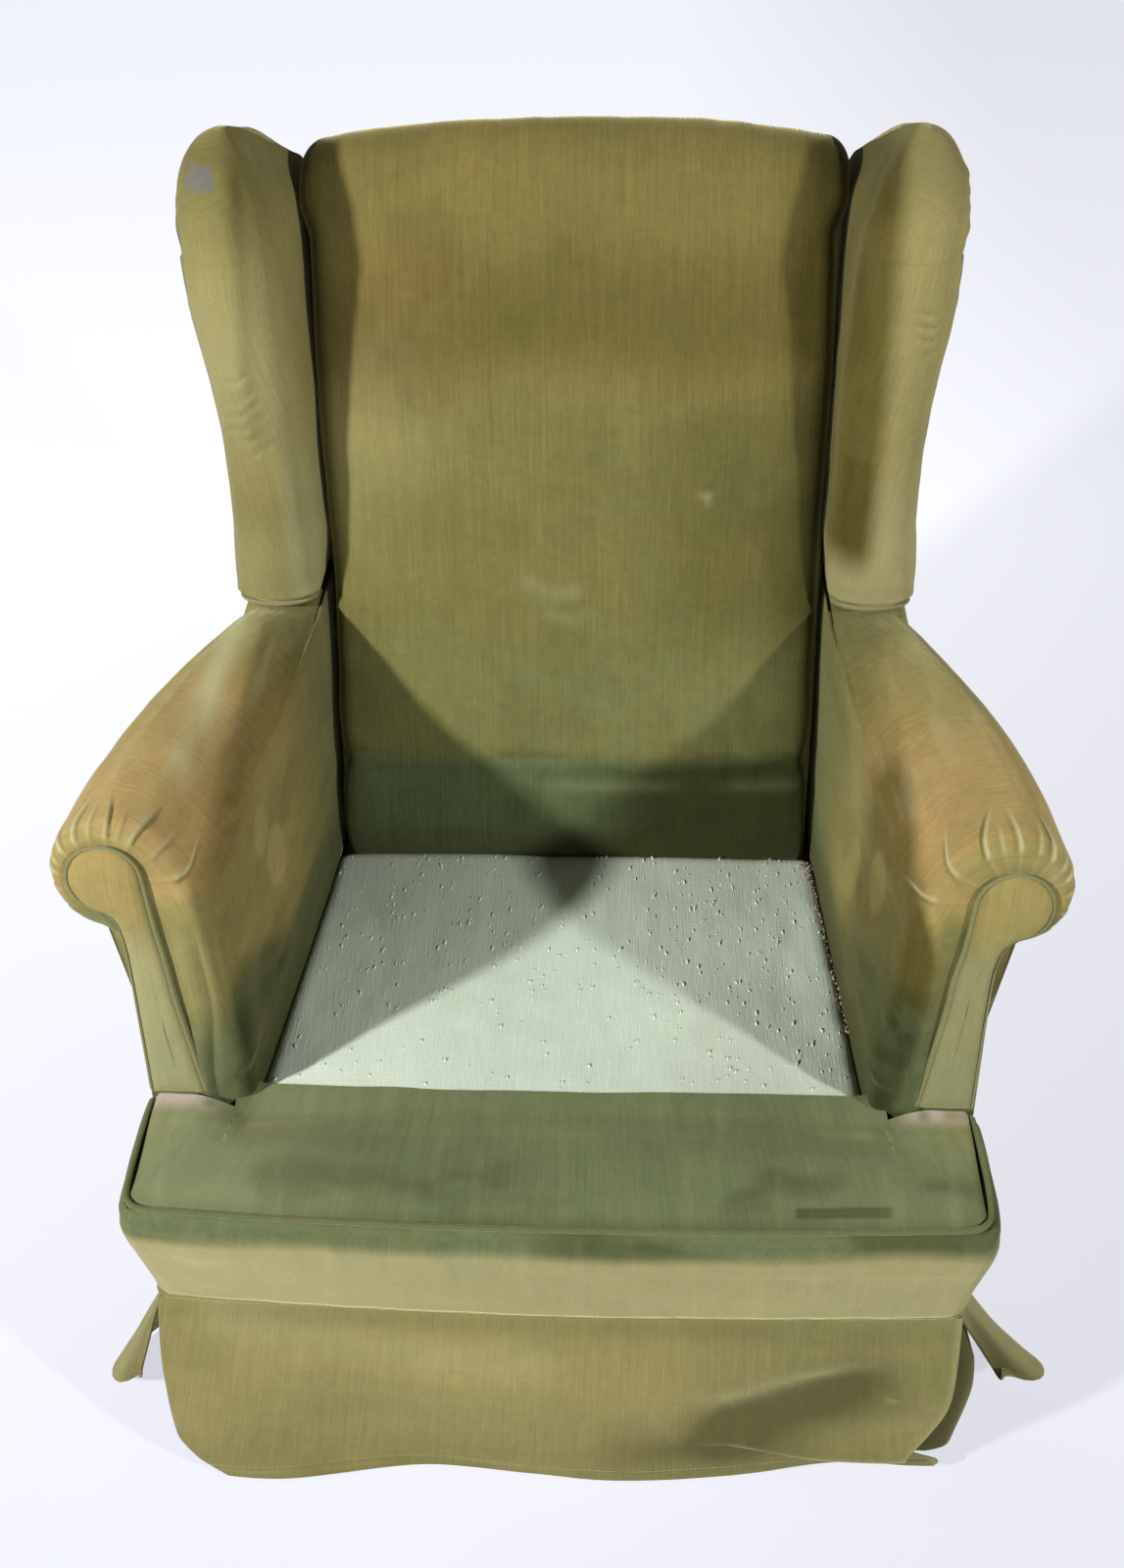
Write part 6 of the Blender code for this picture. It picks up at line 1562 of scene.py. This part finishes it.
def make_skirt(name, node, middle, fade, soil_and_shade, rub_and_highlight, weave=None, slot="velour",
               thickness=SKIRT_THICK):
    """A panel with a turned-up hem, where the cloth is double and a seam presses a groove into it."""
    up = lengths(middle[::-1], 0)[::-1]
    thick = thickness * (1 + 0.28 * ramp(up, HEM + 0.0008, HEM - 0.0002) - 0.5 * bell(up, HEM, 0.0009))
    # painted shade in the hem's groove and along the bottom edge, and a painted highlight just below the
    # groove
    soil_and_shade = soil_and_shade + 0.22 * bell(up, HEM, 0.0014) + 0.14 * bell(up, 0.0, 0.003)
    rub_and_highlight = rub_and_highlight + 0.16 * bell(up, HEM - 0.0016, 0.0009)
    obj = cloth_sheet(name, middle, thick, COVER, fade, soil_and_shade, rub_and_highlight, weave)
    dress(obj, slot, node)
    return up


# how far the ends of the front panel lie from its middle, from the seam, 0, to the hem, 1
FRONT_SKIRT_LEFT = [(0.0, 0.3560), (0.38, 0.3600), (0.75, 0.3560), (0.90, 0.3400), (1.0, 0.3120)]
FRONT_SKIRT_RIGHT = [(0.0, 0.3560), (0.38, 0.3520), (0.62, 0.3400), (0.795, 0.3200), (0.825, 0.3290),
                     (0.90, 0.3450), (0.97, 0.3540), (1.0, 0.3500)]
# the deep crease at its right-hand end, the long shallow one at its left, and small ones at the hem
SKIRT_VALLEY = [(0.10, -0.385, 0.070), (0.154, -0.381, 0.082), (0.205, -0.379, 0.110),
                (0.262, -0.374, 0.150), (0.325, -0.37, 0.178)]
SKIRT_SWAG = [(-0.335, -0.365, 0.195), (-0.25, -0.375, 0.165), (-0.12, -0.38, 0.140), (0.02, -0.38, 0.135)]
HEM_CREASES = [[(-0.16, -0.38, 0.035), (-0.145, -0.38, 0.012)],
               [(-0.205, -0.38, 0.032), (-0.20, -0.38, 0.010)],
               [(0.11, -0.39, 0.06), (0.105, -0.39, 0.02)],
               [(0.03, -0.39, 0.03), (0.025, -0.39, 0.006)]]
# darker places round the crease, painted shade: how dark, where, and how far they reach
SKIRT_SHADED_SPOTS = [(0.35, (0.16, -0.39, 0.035), (0.10, 0.1, 0.018)),
                 (0.30, (0.215, -0.38, 0.112), (0.075, 0.1, 0.020)),
                 (0.45, (0.14, -0.39, 0.055), (0.09, 0.1, 0.026))]
FOLD_V = 0.80               # how far down the front panel its right-hand end folds outwards


def front_skirt_form(v, u, folded):
    x = mix(-along(FRONT_SKIRT_LEFT, v), along(FRONT_SKIRT_RIGHT, v), u)
    wave = 0.0042 * np.sin(u * 13.0 + 0.6) * v
    belly = (0.035 + 0.020 * ramp(1 - 3 * u, 0, 1)) * v ** 0.8
    tuck = folded * np.sin(math.pi * np.minimum(v / FOLD_V, 1.0)) * 0.014
    kick = folded * ramp(v, FOLD_V, 1.0)
    overhang = 0.0120 * folded * ramp(v, FOLD_V - 0.20, FOLD_V - 0.004) * ramp(v, FOLD_V + 0.006, FOLD_V)
    y = FRONT_Y - SKIRT_OFFSET - front_bow(x) - belly - wave - tuck + 0.006 * kick * u - overhang
    z = mix(SKIRT_TOP, HEM_Z + 0.002 + 0.002 * np.sin(u * 9.0), v) + 0.013 * kick
    middle = grid_of(x, y, z)
    lift = 0.0022 * fractal(middle, (6, 6, 9), 3, 220)
    lift = lift - 0.0120 * crease(middle, SKIRT_VALLEY, 0.034)
    lift = lift + 0.0030 * crease(middle, raised(SKIRT_VALLEY, 0.042), 0.030)
    lift = lift - 0.0026 * crease(middle, SKIRT_SWAG, 0.012)
    lift = lift + 0.0022 * crease(middle, raised(SKIRT_SWAG, -0.026), 0.018)
    for line in HEM_CREASES:
        lift = lift - 0.0016 * crease(middle, line, 0.006)
    return middle + np.array([0, -1, 0]) * (lift * ramp(v, 0.05, 0.35))[..., None]


def make_skirt_front():
    """Bellied and wavy; its right-hand end is creased above the hem, which kicks out."""
    v, u = np.meshgrid(crowded(near_ends(88), FOLD_V, 0.006), near_ends(196), indexing="ij")
    folded = ramp(u, 0.70, 0.90)
    middle = front_skirt_form(v, u, folded)
    x, _, z = coordinates_of(middle)
    fade = 0.62 - 0.08 * ramp(x, 0.08, 0.18) + 0.04 * fractal(middle, (9, 9, 13), 3, 221)
    fade = fade + 0.12 * bell(x, -0.04, 0.15) * bell(z, 0.145, 0.045) - 0.08 * ramp(z, 0.185, 0.205)
    # painted shade in the deep crease, towards the hem, under the overhang of the fold, and in spots round
    # the crease
    soil_and_shade = 1.05 * crease(middle, raised(SKIRT_VALLEY, -0.014), 0.034)
    soil_and_shade += 0.22 * ramp(v, 0.66, 0.92) + 0.10 * ramp(v, 0.90, 1.0)
    soil_and_shade += 0.12 * patchy(middle, (12, 12, 18), 3, 222, 0.05, 0.7) + 0.12 * bell(z, 0.196, 0.010)
    soil_and_shade += 0.80 * folded * bell(v, FOLD_V + 0.006, 0.012)
    soil_and_shade += sum(dark * spot(middle, centre, reach) for dark, centre, reach in SKIRT_SHADED_SPOTS)
    rub_and_highlight = 0.08 + 0.16 * crease(middle, raised(SKIRT_SWAG, 0.020), 0.030, 0.1)
    # a painted highlight on the edge that overhangs the fold
    rub_and_highlight += 0.34 * folded * bell(v, FOLD_V - 0.008, 0.006) + 0.22 * ramp(u, 0.988, 0.999)
    rub_and_highlight += 0.30 * spot(middle, (0.300, -0.381, 0.127), (0.006, 0.1, 0.0016))
    weave = grid_of(x - 0.10 * (x - 0.1) * v, lengths(middle, 0))
    up = make_skirt("skirt_front_cloth", "skirt_front", middle, fade, soil_and_shade, rub_and_highlight, weave)
    hem_row = int(np.argmin(np.abs(up[:, up.shape[1] // 2] - HEM)))
    line = middle[hem_row] + np.array([0, -1, 0]) * (SKIRT_THICK * 0.5 - 0.0001)
    make_stitches("skirt_front_stitches", line[4:-4])


def make_stitches(name, path):
    """A row of machine stitches, each a short thread pressed into the cloth."""
    sides, pitch, radius = 6, 0.0034, 0.00028
    stations = ((0.0, 0.3), (0.2, 1.0), (0.8, 1.0), (1.0, 0.3))
    count = int(run(path)[-1] / pitch)
    line = resample(path, count * 2, rounded=False)
    turn = np.linspace(0, 2 * math.pi, sides, endpoint=False)
    ring = grid_of(0, np.cos(turn), np.sin(turn)) * radius
    each = len(stations) * sides
    points, faces = [], []
    for k in range(count):
        start, end = line[2 * k], mix(line[2 * k], line[2 * k + 1], 1.25)
        points += [mix(start, end, s) + ring * size for s, size in stations]
        first = each * k
        last = first + each
        faces += [tuple(first + i for i in face) for face in grid_faces(len(stations), sides, around=True)]
        faces += [tuple(range(first + sides - 1, first - 1, -1)), tuple(range(last - sides, last))]
    dress(make_mesh(name, np.vstack(points), faces, THREAD), "velour")


# how each side panel flares: out, back and up at its front end, out at its rear end, how far the
# front end curls in and up, and how dark the painted shade is inside the curl
SIDE_FLARES = {-1: SimpleNamespace(out=0.080, back=0.000, up=0.004, rear=0.142, curl_in=0.072, curl_up=0.095,
                                   dark=0.45),
               1: SimpleNamespace(out=0.098, back=0.008, up=0.048, rear=0.030, curl_in=0.078, curl_up=0.085,
                                  dark=0.95)}


def make_skirt_side(side):
    """Hangs from the seam, with its front end flared away from the corner."""
    flare = SIDE_FLARES[side]
    v, u = np.meshgrid(near_ends(48), near_ends(120), indexing="ij")
    y = mix(FRONT_Y, REAR_Y, u)
    front, rear = ramp(u, 0.30, 0.0), ramp(u, 0.72, 1.0)
    wave = 0.006 * np.sin(u * 17.0) * v
    bend, even = v ** 1.3, 0.026
    out = even * v + wave + flare.out * bend * front + (flare.rear - even) * bend * rear
    x = side_x(y) + SKIRT_OFFSET + out
    z = mix(SKIRT_TOP, HEM_Z + 0.003, v) + flare.up * bend * front + 0.030 * bend * rear
    y = y + flare.back * bend * front
    # the free end curls back towards the front, so that a rounded lobe faces forwards
    curl = ramp(u, 0.100, 0.0) * bend
    x = x - flare.curl_in * curl ** 1.8
    y = y - 0.018 * curl
    z = z + flare.curl_up * curl ** 3
    middle = grid_of(x, y, z)
    middle[..., 0] += 0.0020 * fractal(middle, (6, 6, 9), 3, 230 + side) * ramp(v, 0.0, 0.3)
    middle = middle * [side, 1, 1]
    fade = 0.56 + 0.09 * fractal(middle, (9, 9, 13), 3, 232) + 0.10 * ramp(u, 0.12, 0.0)
    soil_and_shade = 0.12 * patchy(middle, (12, 12, 18), 3, 233, 0.05, 0.7)
    # painted shade inside the curl
    soil_and_shade += flare.dark * ramp(u, 0.062, 0.036) * ramp(v, 0.0, 0.3)
    rub_and_highlight = (0.24 + 0.16 * ramp(u, 0.016, 0.002)) * ramp(u, 0.030, 0.055)
    make_skirt(sided("skirt_cloth", side), sided("skirt", side), middle, fade, soil_and_shade, rub_and_highlight)


def make_skirt_back():
    v, u = np.meshgrid(near_ends(40), -1 + 2 * near_ends(90), indexing="ij")
    x = u * (HALF_REAR + 0.003 + 0.012 * v)
    y = REAR_Y + SKIRT_OFFSET + 0.040 * v + 0.005 * v * np.sin(u * 9.0)
    middle = grid_of(x, y, mix(SKIRT_TOP, HEM_Z + 0.003, v))
    middle[..., 1] += 0.0020 * fractal(middle, (6, 6, 9), 3, 240) * ramp(v, 0.0, 0.3)
    fade = 0.48 + 0.09 * fractal(middle, (9, 9, 13), 3, 241)
    soil_and_shade = 0.12 * patchy(middle, (12, 12, 18), 3, 242, 0.05, 0.7)
    make_skirt("skirt_back_cloth", "skirt_back", middle, fade, soil_and_shade, 0.0)


def make_pleat_insert(side, place):
    """A folded strip behind each open corner of the skirt."""
    front = place == "front"
    turn_y = -1 if front else 1
    corner_x, corner_y = (HALF_FRONT, FRONT_Y) if front else (HALF_REAR, REAR_Y)
    # the strips at the front corners lie deep in their pleats, and their darkness there is painted shade
    if not front:
        end_flare, side_flare, bulge, fade, soil_and_shade = 0.030, 0.012, 0.0, 0.16, 0.15
    elif side > 0:
        end_flare, side_flare, bulge, fade, soil_and_shade = 0.018, 0.022, 0.020, 0.42, 0.88
    else:
        end_flare, side_flare, bulge, fade, soil_and_shade = 0.018, 0.014, 0.010, 0.42, 0.88
    strip, corner, points = 0.075, 0.004, 400
    rows = []
    for v in near_ends(30):
        offset = 0.0014 + side_flare * v ** 1.3 + bulge * math.sin(math.pi * v)
        end_offset = 0.0014 + end_flare * v
        z = mix(SKIRT_TOP, 0.010, v)
        row = []
        for s in (-1.0, -0.75, -0.5, -0.25, -0.08):
            y = corner_y + turn_y * s * strip
            row.append((side_x(y) + offset, y, z))
        for turn in np.radians((0, 45, 90)):
            row.append((corner_x - corner + (corner + offset) * math.cos(turn),
                        corner_y + turn_y * ((corner + end_offset) * math.sin(turn) - corner), z))
        for s in (0.08, 0.25, 0.5, 0.75, 1.0):
            row.append((corner_x - s * strip, corner_y + turn_y * end_offset, z))
        line = resample(row, points)
        at = near_ends(54) * (points - 1)
        rows.append(np.stack([np.interp(at, np.arange(points), column) for column in line.T], axis=1))
    middle = np.stack(rows) * [side, 1, 1]
    fade = fade + 0.06 * fractal(middle, 12, 3, 250)
    make_skirt(sided(f"pleat_insert_cloth_{place}", side), sided(f"pleat_insert_{place}", side), middle,
               fade, soil_and_shade, 0.0, slot="velour_green", thickness=0.002)


def make_dust_cloth():
    """The black cloth under the seat, cut away round the legs and sagging between the rails."""
    leg_size, leg_y, post_front, margin = 0.046, FRONT_Y + 0.046, POST_Y - 0.001, 0.004
    ys = FRONT_Y + margin + (REAR_Y - FRONT_Y - 2 * margin) * near_ends(38)
    for step_y in (leg_y, post_front):
        ys = crowded(ys, step_y, 0.0016)
    leg_x = side_x(FRONT_Y + 0.045) - leg_size
    half = np.where(ys < leg_y, leg_x, np.where(ys > post_front, POST_INNER - 0.001, side_x(ys) - margin))
    u, half = np.meshgrid(-1 + 2 * near_ends(38), half, indexing="xy")
    x, y = np.broadcast_arrays(u * half, ys[:, None])
    inside = np.sin(math.pi * np.clip((y - FRONT_Y) / (REAR_Y - FRONT_Y), 0, 1)) * (1 - (x / 0.36) ** 2)
    middle = grid_of(x, y, RAIL_BOTTOM - 0.0011 - 0.010 * np.maximum(inside, 0))
    obj = cloth_sheet("dust_cloth_lining", middle, 0.0012, DUST_CLOTH, 0.5)
    dress(obj, "dust_cloth", "dust_cloth")


# ---------------------------------------------------------------- dirt
CREVICE = [(0.2445, 0.100, 0.3245), (0.251, 0.03, 0.3225), (0.259, -0.06, 0.3250), (0.266, -0.15, 0.3300),
           (0.2705, -0.205, 0.3340)]


def make_dirt():
    """Crumbs in the crevice on the right, lint in the rear corner, and fluff where the arms meet the lip."""
    random = np.random.default_rng(5)
    crumbs, specks, fluffs = 150, 80, 260
    crevice = resample(CREVICE, 200)
    picks = random.integers(0, 150, crumbs)
    places = crevice[picks] + random.normal(size=(crumbs, 3)) * [0.0028, 0.004, 0.0008]
    places[:, 0] = np.minimum(places[:, 0], crevice[picks, 0] + 0.001)
    sizes = 0.0006 + 0.0013 * random.random(crumbs) ** 2
    dress(scatter("crevice_crumbs", places, sizes, CRUMB, 6), "platform_cloth")
    places = np.array([0.238, 0.104, 0.3225]) + random.normal(size=(specks, 3)) * [0.006, 0.003, 0.0012]
    sizes = 0.0004 + 0.0008 * random.random(specks)
    dress(scatter("corner_lint", places, sizes, LINT, 7), "platform_cloth")
    for side in (1, -1):
        x = 0.310 + 0.042 * random.random(fluffs) ** 0.8
        y = -0.2475 - 0.006 * random.random(fluffs) ** 1.6
        z = 0.3632 + 0.0020 * random.random(fluffs) - 0.0012 * (x > 0.347)
        sizes = 0.0007 + 0.0013 * random.random(fluffs)
        fluff = scatter(sided("arm_foot_fluff", side), grid_of(side * x, y, z), sizes, LINT, 8 + side,
                        (1.3, 1.0, 0.7))
        dress(fluff, "velour_green")


# ---------------------------------------------------------------- floor, lights and camera
# two round lamps in front of the chair: name, turn to the right in degrees, and power
LAMPS = [("key_left", -52.0, 138.0), ("key_right", 53.0, 76.0)]
LAMP_RISE, LAMP_DISTANCE, LAMP_SIZE = math.radians(30.0), 3.2, 0.20
LAMP_AIM = Vector((0.0, 0.0, 0.45))
CAMERA_AT = (0.065928, -1.168963, 1.514669)
CAMERA_YAW, CAMERA_PITCH, CAMERA_ROLL = -0.059768, 0.703706, -0.025283
CAMERA_LENS, CAMERA_SENSOR = 38.204775, 36.0    # in millimetres


def make_stage():
    bpy.ops.mesh.primitive_plane_add(size=16.0, location=(0, 2.0, -0.0004))
    floor = bpy.context.object
    floor.name = "studio_floor"
    floor.data.materials.append(studio_floor())

    world = bpy.data.worlds.new("studio_world")
    bpy.context.scene.world = world
    world.use_nodes = True
    sky = world.node_tree.nodes["Background"]
    sky.inputs["Color"].default_value = (0.93, 0.95, 1.0, 1.0)
    sky.inputs["Strength"].default_value = 0.10

    for name, azimuth, power in LAMPS:
        light = bpy.data.lights.new(name, "AREA")
        light.shape = "DISK"
        light.size = LAMP_SIZE
        light.energy = power
        light.color = (1.0, 0.985, 0.95)
        lamp = bpy.data.objects.new(name, light)
        bpy.context.collection.objects.link(lamp)
        turn, out = math.radians(azimuth), math.cos(LAMP_RISE)
        away = Vector((math.sin(turn) * out, -math.cos(turn) * out, math.sin(LAMP_RISE)))
        lamp.location = LAMP_AIM + away * LAMP_DISTANCE
        lamp.rotation_euler = away.to_track_quat("Z", "Y").to_euler()


def make_camera():
    ahead = math.cos(CAMERA_PITCH)
    forward = Vector((math.sin(CAMERA_YAW) * ahead, math.cos(CAMERA_YAW) * ahead, -math.sin(CAMERA_PITCH)))
    level = Vector((math.cos(CAMERA_YAW), -math.sin(CAMERA_YAW), 0.0))
    upright = level.cross(forward)
    right = level * math.cos(CAMERA_ROLL) + upright * math.sin(CAMERA_ROLL)
    up = upright * math.cos(CAMERA_ROLL) - level * math.sin(CAMERA_ROLL)
    data = bpy.data.cameras.new("camera")
    data.sensor_width = CAMERA_SENSOR
    data.lens = CAMERA_LENS
    camera = bpy.data.objects.new("camera", data)
    bpy.context.collection.objects.link(camera)
    axes = Matrix((right, up, -forward)).transposed()
    camera.matrix_world = Matrix.Translation(CAMERA_AT) @ axes.to_4x4()
    bpy.context.scene.camera = camera


make_camera()
make_stage()
finish_solids()
make_inside_back()
make_outside_back()
for hand in (1, -1):
    make_inside_wing(hand)
    make_wing_piping(hand)
    make_inside_arm(hand)
    make_arm_facing(hand)
    make_outside_arm(hand)
    make_outside_wing(hand)
    make_skirt_side(hand)
    make_pleat_insert(hand, "front")
    make_pleat_insert(hand, "rear")
make_seat_platform()
make_front_lip()
make_front_border()
make_lip_piping()
make_skirt_piping()
make_skirt_front()
make_skirt_back()
make_dust_cloth()
make_dirt()

bpy.context.scene.view_settings.view_transform = "Standard"
bpy.context.view_layer.update()
